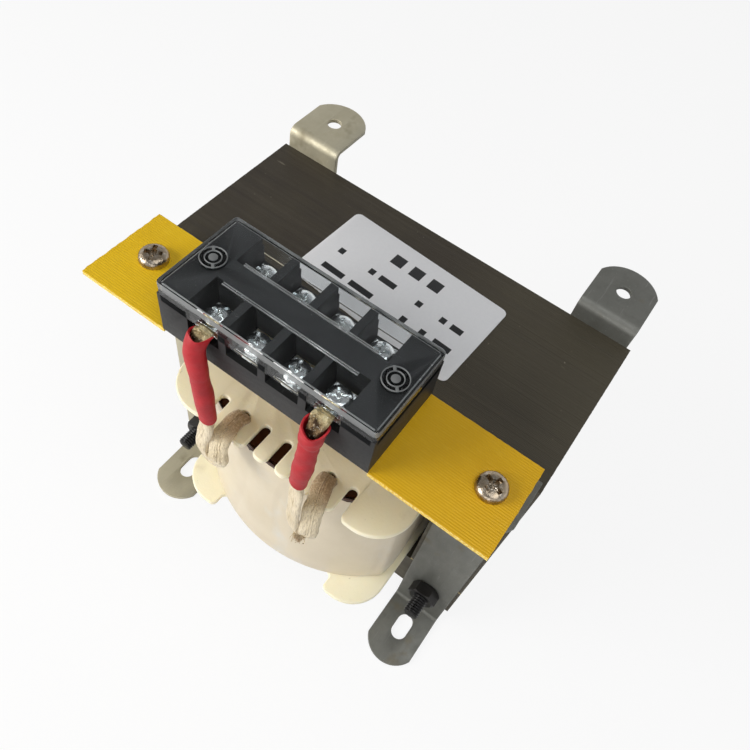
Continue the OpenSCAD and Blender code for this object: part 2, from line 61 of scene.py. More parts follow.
lamps = dict(
    window=dict(place=(0.5, -0.5, 0.4), size=0.5, power=4.6, tint=(1, 0.985, 0.96)),
    ceiling=dict(place=(0.12, 0.32, 0.95), size=0.7, power=2.6, tint=(0.96, 0.98, 1)),
    fill=dict(place=(0.8, 0.3, 0.3), size=0.5, power=1.2, tint=(1, 1, 1)),
)
for name, lamp in lamps.items():
    light = bpy.data.lights.new(name, "AREA")
    light.shape, light.size, light.energy, light.color = "DISK", lamp["size"], lamp["power"], lamp["tint"]
    holder = bpy.data.objects.new(name, light)
    bpy.context.scene.collection.objects.link(holder)
    holder.location = lamp["place"]
    holder.rotation_euler = (Vector((0, 0, 0.07)) - holder.location).to_track_quat("-Z", "Y").to_euler()


# materials: expressions on sockets
class Wire:
    def __init__(self, paint, socket):
        self.paint, self.socket = paint, socket

    def sum(self, operation, a, b):
        return self.paint.node("ShaderNodeMath", dict(operation=operation), {0: a, 1: b})

    def __add__(self, other): return self.sum("ADD", self, other)
    def __radd__(self, other): return self.sum("ADD", other, self)
    def __sub__(self, other): return self.sum("SUBTRACT", self, other)
    def __rsub__(self, other): return self.sum("SUBTRACT", other, self)
    def __mul__(self, other): return self.sum("MULTIPLY", self, other)
    def __rmul__(self, other): return self.sum("MULTIPLY", other, self)
    def __truediv__(self, other): return self.sum("DIVIDE", self, other)
    def __mod__(self, other): return self.sum("FLOORED_MODULO", self, other)
    def __abs__(self): return self.sum("ABSOLUTE", self, 0)


class Paint:
    def __init__(self, name, **constants):
        self.material = bpy.data.materials.new(name)
        self.material.use_nodes = True
        self.tree = self.material.node_tree
        self.shader = self.tree.nodes["Principled BSDF"]
        for socket, value in constants.items():
            self.feed(self.shader.inputs[socket.replace("_", " ")], value)
        self.place = self.node("ShaderNodeTexCoord", {}, {}, "Object")

    def node(self, kind, settings, sockets, out=0):
        made = self.tree.nodes.new(kind)
        for key, value in settings.items():
            setattr(made, key, value)
        for key, value in sockets.items():
            self.feed(made.inputs[key], value)
        return Wire(self, made.outputs[out])

    def feed(self, socket, value):
        if isinstance(value, Wire):
            self.tree.links.new(value.socket, socket)
        else:
            socket.default_value = value

    def stretched(self, x, y, z):
        return self.node("ShaderNodeVectorMath", dict(operation="MULTIPLY"), {0: self.place, 1: (x, y, z)})

    def cloud(self, size, detail=3, stretch=(1, 1, 1)):
        # soft noise whose blobs are about size metres across
        place = self.stretched(*[s / size for s in stretch])
        sockets = {"Vector": place, "Scale": 1, "Detail": detail, "Roughness": 0.55}
        return self.node("ShaderNodeTexNoise", {}, sockets)

    def cells(self, size):
        place = self.stretched(1 / size, 1 / size, 1 / size)
        return self.node("ShaderNodeTexVoronoi", {}, {"Vector": place, "Scale": 1})

    def rise(self, value, low, high, to=(0, 1)):
        return self.node("ShaderNodeMapRange", {}, {0: value, 1: low, 2: high, 3: to[0], 4: to[1]})

    def axis(self, number):
        return self.node("ShaderNodeSeparateXYZ", {}, {0: self.place}, number)

    def blend(self, share, a, b):
        return self.node("ShaderNodeMix", dict(data_type="RGBA"), {0: share, 6: a, 7: b}, 2)

    def wear(self, low=0.5, high=0.56):
        # bright where edges stand out, dark in corners
        return self.rise(self.node("ShaderNodeNewGeometry", {}, {}, "Pointiness"), low, high)

    def coat(self, colour=None, roughness=None, height=None, deep=0.0001):
        if colour is not None:
            self.feed(self.shader.inputs["Base Color"], colour)
        if roughness is not None:
            self.feed(self.shader.inputs["Roughness"], roughness)
        if height is not None:
            bump = self.node("ShaderNodeBump", {}, {"Height": height, "Distance": deep, "Strength": 1.0})
            self.feed(self.shader.inputs["Normal"], bump)
        return self.material


def tint(red, green, blue):
    # a screen colour, 0 to 255, as the shader wants it
    line = [c / 255 for c in (red, green, blue)]
    return tuple(c / 12.92 if c <= 0.04045 else ((c + 0.055) / 1.055) ** 2.4 for c in line) + (1.0,)


def coreSteel():
    p = Paint("coreSteel", Metallic=0.25, Coat_Weight=0.1, Coat_Roughness=0.35)
    broad = p.cloud(0.045, 4)
    streak = p.cloud(0.012, 4, (4, 0.35, 4))
    base = p.blend(p.rise(broad, 0.35, 0.65), tint(55, 48, 38), tint(67, 61, 46))
    base = p.blend(p.rise(streak, 0.5, 0.75) * 0.5, base, tint(50, 45, 41))
    sheetTone = p.cloud(0.0011, 1, (1, 0.004, 0.02))
    base = p.blend(p.rise(p.axis(1), -0.01, 0.06) * 0.5, base, tint(86, 80, 64))
    base = p.blend(p.rise(sheetTone, 0.45, 0.7) * 0.14, base, tint(88, 82, 72))
    specks = p.rise(p.cloud(0.0014, 2), 0.73, 0.77) * p.rise(p.cloud(0.03, 1), 0.45, 0.6)
    rubs = p.rise(p.cloud(0.0024, 3, (1, 0.25, 1)), 0.7, 0.75) * p.rise(p.cloud(0.02, 2), 0.5, 0.66)
    base = p.blend(specks * 0.8 + rubs * 0.35, base, tint(150, 142, 124))
    rough = 0.5 + 0.16 * p.rise(streak, 0.3, 0.7) - 0.1 * p.rise(broad, 0.5, 0.7)
    return p.coat(base, rough, height=p.cloud(0.0008, 3, (1, 0.2, 1)) + specks, deep=0.00004)


def zincSheet():
    p = Paint("zincSheet", Metallic=0.5)
    broad, fine = p.cloud(0.02, 4), p.cloud(0.004, 5, (1, 1, 0.4))
    base = p.blend(p.rise(broad, 0.35, 0.68), tint(164, 166, 159), tint(132, 135, 128))
    base = p.blend(p.rise(fine, 0.45, 0.75) * 0.5, base, tint(108, 111, 104))
    lines = p.rise(p.cloud(0.0016, 2, (0.12, 2.2, 2.2)), 0.66, 0.7)
    lines = lines + p.rise(p.cloud(0.0018, 2, (2.2, 2.2, 0.1)), 0.68, 0.72)
    base = p.blend(lines * 0.5, base, tint(205, 205, 202))
    # painted shade: the brackets on the +Y side are painted darker, for light falling from the -Y side
    base = p.blend(p.rise(p.axis(1) + 0.05 * broad, 0, 0.06) * 0.72, base, tint(96, 95, 90))
    # painted light: the brackets on the -Y side are painted lighter and warmer, for light falling from that
    # side
    base = p.blend(p.rise(p.axis(1), -0.03, -0.05) * 0.7, base, tint(200, 190, 160))
    stain = p.rise(p.cloud(0.011, 3), 0.6, 0.74)
    base = p.blend(stain * 0.5, base, tint(112, 100, 72))
    rough = 0.4 + 0.22 * p.rise(fine, 0.3, 0.7) + 0.1 * stain
    return p.coat(base, rough, height=fine - lines * 0.3, deep=0.00005)


def blackSteel():
    p = Paint("blackSteel", Metallic=0.7)
    fine = p.cloud(0.0015, 4)
    base = p.blend(p.rise(fine, 0.35, 0.7), tint(12, 12, 13), tint(26, 25, 25))
    base = p.blend(p.wear(0.52, 0.6) * 0.4, base, tint(80, 78, 76))
    return p.coat(base, 0.2 + 0.25 * fine, height=fine, deep=0.00004)


def yellowBoard(ridge):
    p = Paint("yellowBoard", Specular_IOR_Level=0.35)
    broad = p.cloud(0.05, 3)
    weave = p.cloud(0.0011, 2, (2.4, 0.25, 1))
    sawn = p.cloud(0.0006, 2)
    base = p.blend(p.rise(broad, 0.35, 0.65), tint(232, 190, 26), tint(222, 178, 18))
    # painted shade: the board is painted darker and more golden towards +Y, for light falling from the -Y
    # side
    base = p.blend(p.rise(p.axis(1), -0.05, 0.05) * 0.6, base, tint(214, 158, 0))
    # painted shade: darker in the grooves between the ridges, where the surface dips
    groove = p.rise(abs((p.axis(0) / ridge) % 1 - 0.5), 0.3, 0.5)
    base = p.blend(groove * 0.2, base, tint(196, 150, 8))
    base = p.blend(p.rise(weave, 0.52, 0.75) * 0.1, base, tint(250, 222, 80))
    normal = p.node("ShaderNodeNewGeometry", {}, {}, "True Normal")
    side = p.rise(abs(p.node("ShaderNodeSeparateXYZ", {}, {0: normal}, 2)), 0.6, 0.3)
    base = p.blend(side * p.rise(sawn, 0.35, 0.65), base, tint(244, 224, 130))
    return p.coat(base, 0.36 + 0.06 * weave, height=weave * 0.12 + sawn * 0.3 * side, deep=0.00005)


def blockPlastic():
    p = Paint("blockPlastic", Specular_IOR_Level=0.2)
    fine, broad = p.cloud(0.0007, 3), p.cloud(0.012, 3)
    base = p.blend(p.rise(broad, 0.35, 0.7), tint(8, 8, 8), tint(16, 16, 16))
    base = p.blend(p.wear(0.51, 0.58) * 0.3, base, tint(78, 78, 79))
    scuff = p.rise(p.cloud(0.003, 3, (0.4, 1.6, 1)), 0.66, 0.72)
    base = p.blend(scuff * 0.2, base, tint(66, 66, 67))
    return p.coat(base, 0.4 + 0.18 * fine + 0.1 * scuff, height=fine, deep=0.00003)


def clearPlastic(name, colour, rough, clear):
    # polycarbonate that lets the lamps through
    p = Paint(name, Base_Color=colour, Transmission_Weight=clear, IOR=1.22)
    haze = p.cloud(0.006, 4)
    scratch = p.rise(p.cloud(0.0015, 2, (1.6, 0.12, 1)), 0.68, 0.72)
    p.coat(roughness=rough + 0.04 * p.rise(haze, 0.45, 0.8) + 0.16 * scratch, height=haze, deep=0.00003)
    shadow = p.node("ShaderNodeLightPath", {}, {}, "Is Shadow Ray")
    through = p.node("ShaderNodeBsdfTransparent", {}, {0: tint(236, 240, 242)})
    both = p.node("ShaderNodeMixShader", {}, {0: shadow, 1: Wire(p, p.shader.outputs[0]), 2: through})
    p.feed(p.tree.nodes["Material Output"].inputs[0], both)
    return p.material


def brightMetal(name, light, dark, rough, dents):
    p = Paint(name, Metallic=1.0)
    fine, broad = p.cloud(0.0012, 2), p.cloud(0.004, 3)
    base = p.blend(p.rise(broad, 0.35, 0.65), light, dark)
    base = p.blend(p.wear(0.52, 0.6) * 0.5, base, tint(235, 235, 230))
    return p.coat(base, rough + 0.16 * fine, height=fine, deep=dents)


def bobbinNylon():
    p = Paint("bobbinNylon", Subsurface_Weight=0.25, Subsurface_Scale=0.004,
              Subsurface_Radius=(1.0, 0.8, 0.5))
    broad, fine = p.cloud(0.018, 4), p.cloud(0.0009, 3)
    base = p.blend(p.rise(broad, 0.3, 0.7), tint(252, 243, 216), tint(248, 238, 206))
    base = p.blend(p.rise(p.cloud(0.007, 4), 0.6, 0.78) * 0.6, base, tint(230, 218, 188))
    grime = p.rise(p.cloud(0.0016, 3), 0.72, 0.78)
    base = p.blend(grime * 0.5, base, tint(150, 135, 105))
    return p.coat(base, 0.36 + 0.15 * fine, height=fine + broad, deep=0.00005)


def wrapFilm():
    p = Paint("wrapFilm", Subsurface_Weight=0.15, Subsurface_Scale=0.003, Subsurface_Radius=(1.0, 0.85, 0.7),
              Coat_Weight=0.3, Coat_Roughness=0.22)
    broad, fine = p.cloud(0.022, 4), p.cloud(0.0012, 4)
    base = p.blend(p.rise(broad, 0.3, 0.7), tint(221, 208, 184), tint(211, 197, 170))
    base = p.blend(p.rise(p.cloud(0.012, 3, (1, 1, 0.5)), 0.58, 0.75) * 0.5, base, tint(216, 216, 210))
    base = p.blend(p.rise(p.cloud(0.003, 3), 0.72, 0.8) * 0.2, base, tint(196, 184, 160))
    fibre = p.cloud(0.0018, 3, (1, 1, 0.12))
    return p.coat(base, 0.38 + 0.16 * fine, height=fibre, deep=0.00004)


def copperWire(pitch):
    p = Paint("copperWire", Metallic=0.8)
    strand = abs((p.axis(2) / pitch) % 1 - 0.5)
    # painted shade: darker in the hollows between the turns, where the bump dips
    base = p.blend(p.rise(strand, 0.25, 0.5), tint(74, 40, 26), tint(26, 13, 10))
    return p.coat(base, 0.35 + 0.2 * p.cloud(0.002, 3), height=1 - strand, deep=0.0003)


def sleeveBraid(edgeX, topZ, stainAt, stainSize):
    # woven glass strands, varnished brown where they leave the coil, pale and combed beyond
    p = Paint("sleeveBraid", Sheen_Weight=0.3)
    strands = p.cloud(0.00055, 2, (1.6, 1.6, 0.14))
    weave = p.cells(0.00075)
    broad = p.cloud(0.005, 3)
    cream = p.blend(p.rise(broad, 0.35, 0.65), tint(234, 219, 188), tint(216, 199, 164))
    cream = p.blend(p.rise(strands, 0.48, 0.66) * 0.55, cream, tint(168, 146, 112))
    tan = p.blend(p.rise(broad, 0.35, 0.65), tint(212, 190, 156), tint(186, 160, 124))
    tan = p.blend(p.rise(weave, 0.25, 0.6) * 0.6, tan, tint(150, 120, 86))
    inner = p.rise(p.axis(0) + 0.004 * broad, edgeX + 0.004, edgeX)
    inner = inner * p.rise(p.axis(2), topZ + 0.009, topZ + 0.006)
    off = p.node("ShaderNodeVectorMath", dict(operation="DISTANCE"), {0: p.place, 1: stainAt}, 1)
    stained = p.rise(off + 0.002 * broad, stainSize, stainSize * 0.6)
    inner = p.node("ShaderNodeMath", dict(operation="MAXIMUM"), {0: inner, 1: stained})
    return p.coat(p.blend(inner, cream, tan), 0.46 + 0.2 * strands, height=strands + weave * 0.4,
                  deep=0.00025)


def redShrink():
    p = Paint("redShrink", Subsurface_Weight=0.1, Subsurface_Scale=0.001, Specular_IOR_Level=0.4)
    broad, fine = p.cloud(0.006, 4), p.cloud(0.0009, 4)
    base = p.blend(p.rise(broad, 0.35, 0.7), tint(184, 28, 38), tint(158, 24, 32))
    base = p.blend(p.rise(p.cloud(0.0025, 3), 0.68, 0.78) * 0.5, base, tint(140, 28, 36))
    return p.coat(base, 0.42 + 0.2 * fine, height=fine + broad, deep=0.00008)


def solderedLug(neckX):
    # tinned brass inside the block, browned solder over the strands outside
    p = Paint("solderedLug", Metallic=0.85)
    patch, fine = p.cloud(0.0022, 4), p.cloud(0.0006, 3)
    solder = p.blend(p.rise(patch, 0.42, 0.6), tint(128, 106, 76), tint(48, 34, 22))
    brass = p.blend(p.rise(patch, 0.4, 0.62), tint(206, 192, 152), tint(166, 144, 100))
    base = p.blend(p.rise(p.axis(0) + 0.004 * patch, neckX + 0.0046, neckX + 0.0022), solder, brass)
    # painted glints: small near-white specks over the lug
    base = p.blend(p.rise(fine, 0.6, 0.72) * 0.8, base, tint(238, 232, 214))
    return p.coat(base, 0.2 + 0.35 * fine, height=patch + fine, deep=0.0004)


def labelFilm(size, turn, middle):
    # silver film with plain bars in place of print
    p = Paint("labelFilm", Metallic=0.1)
    fine = p.cloud(0.0009, 3)
    base = p.blend(fine, tint(233, 233, 234), tint(226, 226, 228))
    ink = tint(30, 30, 32)
    c, s = math.cos(-turn), math.sin(-turn)
    px, py = p.axis(0) - middle[0], p.axis(1) - middle[1]
    along, across = s * px + c * py, c * px - s * py
    for row in size["bars"]:
        inside = p.rise(abs(across - row["at"]), row["tall"] / 2 + 0.00008, row["tall"] / 2)
        marks = 0
        for start, end in row["marks"]:
            marks = marks + p.rise(abs(along - (start + end) / 2), (end - start) / 2 + 0.00008,
                                   (end - start) / 2)
        base = p.blend(inside * marks, base, ink)
    return p.coat(base, 0.36 + 0.14 * fine, height=p.cloud(0.004, 3), deep=0.00006)


def plainPaint(name, light, dark, rough):
    p = Paint(name)
    fine = p.cloud(0.002, 3)
    return p.coat(p.blend(fine, light, dark), rough + 0.1 * fine, height=fine, deep=0.00004)


# meshes
def newPiece(name, mesh, material, slot, *nodes):
    piece = bpy.data.objects.new(name, mesh)
    bpy.context.scene.collection.objects.link(piece)
    mesh.materials.clear()
    mesh.materials.append(material)
    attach(piece, "root")
    if nodes:
        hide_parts(*nodes)
    return piece


def meshOf(name, points, faces, smooth=0.7):
    mesh = bpy.data.meshes.new(name)
    mesh.from_pydata([tuple(p) for p in points], [], [tuple(f) for f in faces])
    mesh.update()
    return smoothed(mesh, smooth)


def smoothed(mesh, angle):
    form = bmesh.new()
    form.from_mesh(mesh)
    for face in form.faces:
        face.smooth = True
    for edge in form.edges:
        edge.smooth = not edge.is_manifold or edge.calc_face_angle(0) < angle
    form.to_mesh(mesh)
    form.free()
    return mesh


def joined(name, meshes, smooth=None):
    form = bmesh.new()
    for mesh in meshes:
        form.from_mesh(mesh)
    mesh = bpy.data.meshes.new(name)
    form.to_mesh(mesh)
    form.free()
    return mesh if smooth is None else smoothed(mesh, smooth)


def moved(mesh, matrix):
    copy = mesh.copy()
    copy.transform(matrix)
    return copy


def plate(name, loops, low, high, edge, steps=2):
    # a flat plate with holes and rounded edges, from closed 2-D loops in metres
    curve = bpy.data.curves.new(name, "CURVE")
    curve.dimensions, curve.fill_mode = "2D", "BOTH"
    curve.extrude, curve.bevel_depth, curve.offset = (high - low) / 2 - edge, edge, -edge
    curve.bevel_resolution = steps
    for loop in loops:
        spline = curve.splines.new("POLY")
        spline.points.add(len(loop) - 1)
        for point, (x, y) in zip(spline.points, loop):
            point.co = (x, y, 0, 1)
        spline.use_cyclic_u = True
    holder = bpy.data.objects.new(name, curve)
    bpy.context.scene.collection.objects.link(holder)
    mesh = bpy.data.meshes.new_from_object(holder.evaluated_get(bpy.context.evaluated_depsgraph_get()))
    bpy.data.objects.remove(holder)
    form = bmesh.new()
    form.from_mesh(mesh)
    bmesh.ops.remove_doubles(form, verts=form.verts, dist=0.000002)
    bmesh.ops.dissolve_degenerate(form, edges=form.edges, dist=0.000001)
    bmesh.ops.recalc_face_normals(form, faces=form.faces)
    form.to_mesh(mesh)
    form.free()
    mesh.transform(Matrix.Translation((0, 0, (low + high) / 2)))
    return smoothed(mesh, 0.6)


def circle(x, y, radius, steps=32, start=0, turn=2 * math.pi):
    count = steps if turn >= 2 * math.pi else steps + 1
    angles = [start + turn * i / steps for i in range(count)]
    return [(x + radius * math.cos(a), y + radius * math.sin(a)) for a in angles]


def roundBox(x, y, radius, steps=10):
    corners = [(x - radius, y - radius, 0), (radius - x, y - radius, 1), (radius - x, radius - y, 2),
               (x - radius, radius - y, 3)]
    return [p for cx, cy, k in corners for p in circle(cx, cy, radius, steps, k * math.pi / 2, math.pi / 2)]


def lathe(name, profile, steps=32):
    # turns (radius, height) pairs about Z; a radius of 0 closes the end
    points, faces, rings = [], [], []
    for radius, height in profile:
        if radius <= 0:
            rings.append([len(points)])
            points.append((0, 0, height))
        else:
            rings.append(list(range(len(points), len(points) + steps)))
            turns = [2 * math.pi * k / steps for k in range(steps)]
            points += [(radius * math.cos(a), radius * math.sin(a), height) for a in turns]
    for a, b in zip(rings, rings[1:]):
        for k in range(steps):
            l = (k + 1) % steps
            if len(a) == 1:
                faces.append((a[0], b[l], b[k]))
            elif len(b) == 1:
                faces.append((a[k], a[l], b[0]))
            else:
                faces.append((a[k], a[l], b[l], b[k]))
    return meshOf(name, points, faces, 0.6)


def ringStack(name, rings, closed=False, smooth=0.7):
    # skins a list of equal rings of points, and caps its ends unless the last ring meets the first
    count, steps = len(rings), len(rings[0])
    points = [p for ring in rings for p in ring]
    faces = []
    for i in range(count if closed else count - 1):
        j = (i + 1) % count
        for k in range(steps):
            l = (k + 1) % steps
            faces.append((i * steps + k, i * steps + l, j * steps + l, j * steps + k))
    if not closed:
        faces.append(tuple(range(steps))[::-1])
        faces.append(tuple((count - 1) * steps + k for k in range(steps)))
    return meshOf(name, points, faces, smooth)


def carve(mesh, cutters):
    body = bpy.data.objects.new("body", mesh)
    bpy.context.scene.collection.objects.link(body)
    tools = []
    for cutter in cutters:
        tool = bpy.data.objects.new("tool", cutter)
        bpy.context.scene.collection.objects.link(tool)
        tools.append(tool)
        cut = body.modifiers.new("cut", "BOOLEAN")
        cut.object, cut.operation, cut.solver = tool, "DIFFERENCE", "EXACT"
    result = bpy.data.meshes.new_from_object(body.evaluated_get(bpy.context.evaluated_depsgraph_get()))
    for each in [body] + tools:
        bpy.data.objects.remove(each)
    return result


def softened(node, width, steps=2):
    # the node's own form, with its sharp edges rounded over
    form = bmesh.new()
    form.from_mesh(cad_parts[node].data)
    bmesh.ops.remove_doubles(form, verts=form.verts, dist=0.000005)
    bmesh.ops.dissolve_limit(form, angle_limit=0.01, verts=form.verts, edges=form.edges)
    sharp = [e for e in form.edges if e.is_manifold and e.calc_face_angle(0) > 0.5]
    bmesh.ops.bevel(form, geom=sharp, offset=width, segments=steps, profile=0.6, affect="EDGES",
                    clamp_overlap=True)
    mesh = bpy.data.meshes.new(node)
    form.to_mesh(mesh)
    form.free()
    return smoothed(mesh, 0.6)


def softBox(x, y, z, edge, steps=2):
    form = bmesh.new()
    bmesh.ops.create_cube(form, size=1)
    for vert in form.verts:
        vert.co = Vector((vert.co.x * x, vert.co.y * y, vert.co.z * z))
    if edge:
        bmesh.ops.bevel(form, geom=form.edges[:], offset=edge, segments=steps, profile=0.6, affect="EDGES")
    mesh = bpy.data.meshes.new("softBox")
    form.to_mesh(mesh)
    form.free()
    return smoothed(mesh, 0.6)


def hexRadius(flats, angle):
    return flats / 2 / math.cos((angle + math.pi / 6) % (math.pi / 3) - math.pi / 6)


def hexHead(flats, tall, bore=0.0, lower=False):
    # a hexagon along Z with its corners turned off at the top, and below too for a nut
    steps, chamfer = 48, 0.94
    angles = [2 * math.pi * k / steps for k in range(steps)]
    rim = flats / 2 * chamfer

    def ring(radius, height):
        return [(r * math.cos(a), r * math.sin(a), h) for a in angles for r, h in [(radius(a), height(a))]]

    drop = lambda a: (hexRadius(flats, a) - rim) * math.tan(math.pi / 6)
    side = lambda a: hexRadius(flats, a)
    rings = [ring(lambda a: rim, lambda a: 0), ring(side, drop)] if lower else [ring(side, lambda a: 0)]
    rings += [ring(side, lambda a: tall - drop(a)), ring(lambda a: rim, lambda a: tall)]
    if bore:
        mouth = bore * 1.12
        rings += [ring(lambda a: mouth, lambda a: tall), ring(lambda a: bore, lambda a: tall - mouth * 0.12),
                  ring(lambda a: bore, lambda a: mouth * 0.12), ring(lambda a: mouth, lambda a: 0)]
    return ringStack("hexHead", rings, closed=bool(bore), smooth=0.45)


def thread(radius, pitch, length, deep, sides=28):
    # a screw thread up from Z = 0 with a chamfered tip, in eight steps a turn
    rings = []
    steps = int(length / pitch * 8)
    for i in range(steps + 1):
        z = length * i / steps
        ring = []
        for k in range(sides):
            phase = (z / pitch - k / sides) % 1
            cut = deep * abs(phase * 2 - 1)
            r = min(radius - cut, radius - deep * 0.9 + length - z)
            a = 2 * math.pi * k / sides
            ring.append((r * math.cos(a), r * math.sin(a), z))
        rings.append(ring)
    return ringStack("thread", rings, smooth=1.2)


def placed(x, y, z, turn=0.0, axis="Z"):
    return Matrix.Translation((x, y, z)) @ Matrix.Rotation(turn, 4, axis)


def alongX(x, y, z, turn=0.0):
    return placed(x, y, z, math.pi / 2, "Y") @ Matrix.Rotation(turn, 4, "Z")


def wobble(x, y, z, size, seed=0.0):
    return noise.noise(Vector((x / size + seed, y / size - seed * 1.7, z / size + seed * 0.6)))


# core: real sheets, each a little out of line
eLow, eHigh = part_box("e_stack")
iLow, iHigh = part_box("i_stack")
limb = (eHigh.y - eLow.y) / 6
holeY, holeZs = eHigh.y - limb / 2, (iLow.z + limb / 2, eHigh.z - limb / 2)
core = dict(sheets=120, gap=0.00002, slip=0.00004, holeRadius=0.0033, material=coreSteel())


def sheetStack(name, outline, holeZ, seed):
    random.seed(seed)
    pitch = (eHigh.x - eLow.x) / core["sheets"]
    holes = [circle(y, holeZ, core["holeRadius"], 20) for y in (-holeY, holeY)]
    flat = plate(name, [outline] + holes, -pitch / 2 + core["gap"] / 2, pitch / 2 - core["gap"] / 2,
                 0.00001, 0)
    stand = Matrix(((0, 0, 1, 0), (1, 0, 0, 0), (0, 1, 0, 0), (0, 0, 0, 1)))
    sheets = []
    for i in range(core["sheets"]):
        across = down = 0
        if 0 < i < core["sheets"] - 1:
            across, down = random.uniform(-1, 1) * core["slip"], random.random() * core["slip"]
        sheets.append(moved(flat, Matrix.Translation((eLow.x + pitch * (i + 0.5), across, -down)) @ stand))
    return joined(name, sheets, 0.5)


windowTop = eHigh.z - limb
eOutline = [(-3 * limb, eLow.z), (-2 * limb, eLow.z), (-2 * limb, windowTop), (-limb, windowTop),
            (-limb, eLow.z), (limb, eLow.z),
            (limb, windowTop), (2 * limb, windowTop), (2 * limb, eLow.z), (3 * limb, eLow.z),
            (3 * limb, eHigh.z), (-3 * limb, eHigh.z)]
iOutline = [(-3 * limb, iLow.z), (3 * limb, iLow.z), (3 * limb, iHigh.z), (-3 * limb, iHigh.z)]
newPiece("eSheets", sheetStack("eSheets", eOutline, holeZs[1], 3), core["material"], "core_steel", "e_stack")
newPiece("iSheets", sheetStack("iSheets", iOutline, holeZs[0], 4), core["material"], "core_steel", "i_stack")
print("core: %d sheets" % (2 * core["sheets"]))


# brackets: flat blanks, bent
bLow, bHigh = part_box("bracket_front_right")
bracket = dict(sheet=0.0015, bend=0.003, tip=0.0108, hole=0.012, holeRadius=0.0024, slotWide=0.0031,
               slotLong=0.0054,
               shorter=0.005, edge=0.00022, burr=0.00012, seedStep=3.1, material=zincSheet())


def bracketMesh(name, seed):
    b = bracket
    wide, tall, foot = (bHigh.y - bLow.y) / 2, bHigh.z - bLow.z, bHigh.x - eHigh.x
    tongue = foot - b["shorter"]
    mid = b["bend"] - b["sheet"] / 2
    arc = mid * math.pi / 2
    marks = [foot - b["bend"], foot - b["bend"] + arc]
    marks += [marks[1] + tall - 2 * b["bend"], marks[1] + tall - 2 * b["bend"] + arc]
    length = marks[3] + tongue - b["bend"]
    half = math.asin(wide / b["tip"])
    ends = [(b["tip"] - b["tip"] * math.cos(a), b["tip"] * math.sin(a)) for a in np.linspace(-half, half, 17)]
    outline = ends[:] + [(length - x, -y) for x, y in ends]
    slot = []
    for way in (1, -1):
        middle = foot - b["hole"] + way * (b["slotLong"] - b["slotWide"])
        slot += circle(middle, 0, b["slotWide"], 12, -way * math.pi / 2, math.pi)
    holes = [slot, circle(length - (tongue - b["hole"]), 0, b["holeRadius"], 24)]
    holes += [circle(marks[1] + z - b["bend"], 0, core["holeRadius"], 24) for z in holeZs]
    flat = plate(name, [outline] + holes, -b["sheet"] / 2, b["sheet"] / 2, b["edge"], 2)
    form = bmesh.new()
    form.from_mesh(flat)
    cuts = [marks[0] + arc * i / 8 for i in range(9)] + [marks[2] + arc * i / 8 for i in range(9)]
    for at in cuts:
        everything = form.verts[:] + form.edges[:] + form.faces[:]
        bmesh.ops.bisect_plane(form, geom=everything, plane_co=(at, 0, 0), plane_no=(1, 0, 0))
    for vert in form.verts:
        s, y, w = vert.co
        if s < marks[0]:
            x, z = foot - s, b["sheet"] / 2 + w
        elif s < marks[1]:
            a = (s - marks[0]) / mid
            x, z = b["bend"] - (mid - w) * math.sin(a), b["bend"] - (mid - w) * math.cos(a)
        elif s < marks[2]:
            x, z = b["sheet"] / 2 + w, b["bend"] + s - marks[1]
        elif s < marks[3]:
            a = (s - marks[2]) / mid
            x, z = b["bend"] - (mid - w) * math.cos(a), tall - b["bend"] + (mid - w) * math.sin(a)
        else:
            x, z = b["bend"] + s - marks[3], tall - b["sheet"] / 2 - w
        ragged = b["burr"] * wobble(x, y, z, 0.006, seed) * (1 if abs(y) > wide * 0.9 else 0)
        vert.co = (x, y - math.copysign(abs(ragged), y), z)
    bmesh.ops.recalc_face_normals(form, faces=form.faces)
    form.to_mesh(flat)
    form.free()
    return smoothed(flat, 0.5)


for number, (node, turn, side) in enumerate([("bracket_front_left", 0, -1), ("bracket_front_right", 0, 1),
                                            ("bracket_rear_left", math.pi, -1),
                                            ("bracket_rear_right", math.pi, 1)]):
    face = eHigh.x if turn == 0 else eLow.x
    place = placed(face, side * holeY, 0, turn)
    words = node.split("_")
    sheet = moved(bracketMesh(node, number * bracket["seedStep"]), place)
    newPiece("bracket" + words[1].title() + words[2].title(), sheet, bracket["material"], "zinc_sheet", node)
print("brackets: 4")


# clamp bolts
boltLow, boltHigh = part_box("clamp_bolts")
nutLow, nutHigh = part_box("clamp_nuts")
bolt = dict(radius=0.003, pitch=0.001, deep=0.00045, flats=0.01, head=0.004, threaded=0.018,
            turns=(0.2, 0.9, 0.5, 0.0), bore=0.93, nutTurn=2.3, material=blackSteel())
screws, nuts = [], []
for (y, z), turn in zip([(y, z) for y in (-holeY, holeY) for z in holeZs], bolt["turns"]):
    headX = boltLow.x + bolt["head"]
    screws.append(moved(hexHead(bolt["flats"], bolt["head"]),
                        alongX(headX, y, z, turn) @ Matrix.Rotation(math.pi, 4, "X")))
    shankEnd = boltHigh.x - bolt["threaded"]
    shank = lathe("shank", [(0, 0), (bolt["radius"], 0), (bolt["radius"], shankEnd - headX),
                            (0, shankEnd - headX)], 28)
    screws.append(moved(shank, alongX(headX, y, z)))
    screws.append(moved(thread(bolt["radius"], bolt["pitch"], bolt["threaded"], bolt["deep"]),
                        alongX(shankEnd, y, z, turn)))
    nut = hexHead(bolt["flats"], nutHigh.x - nutLow.x, bolt["radius"] * bolt["bore"], lower=True)
    nuts.append(moved(nut, alongX(nutLow.x, y, z, turn * bolt["nutTurn"])))
newPiece("clampBolts", joined("clampBolts", screws), bolt["material"], "black_steel", "clamp_bolts")
newPiece("clampNuts", joined("clampNuts", nuts), bolt["material"], "black_steel", "clamp_nuts")
print("clamp bolts: %d" % len(nuts))


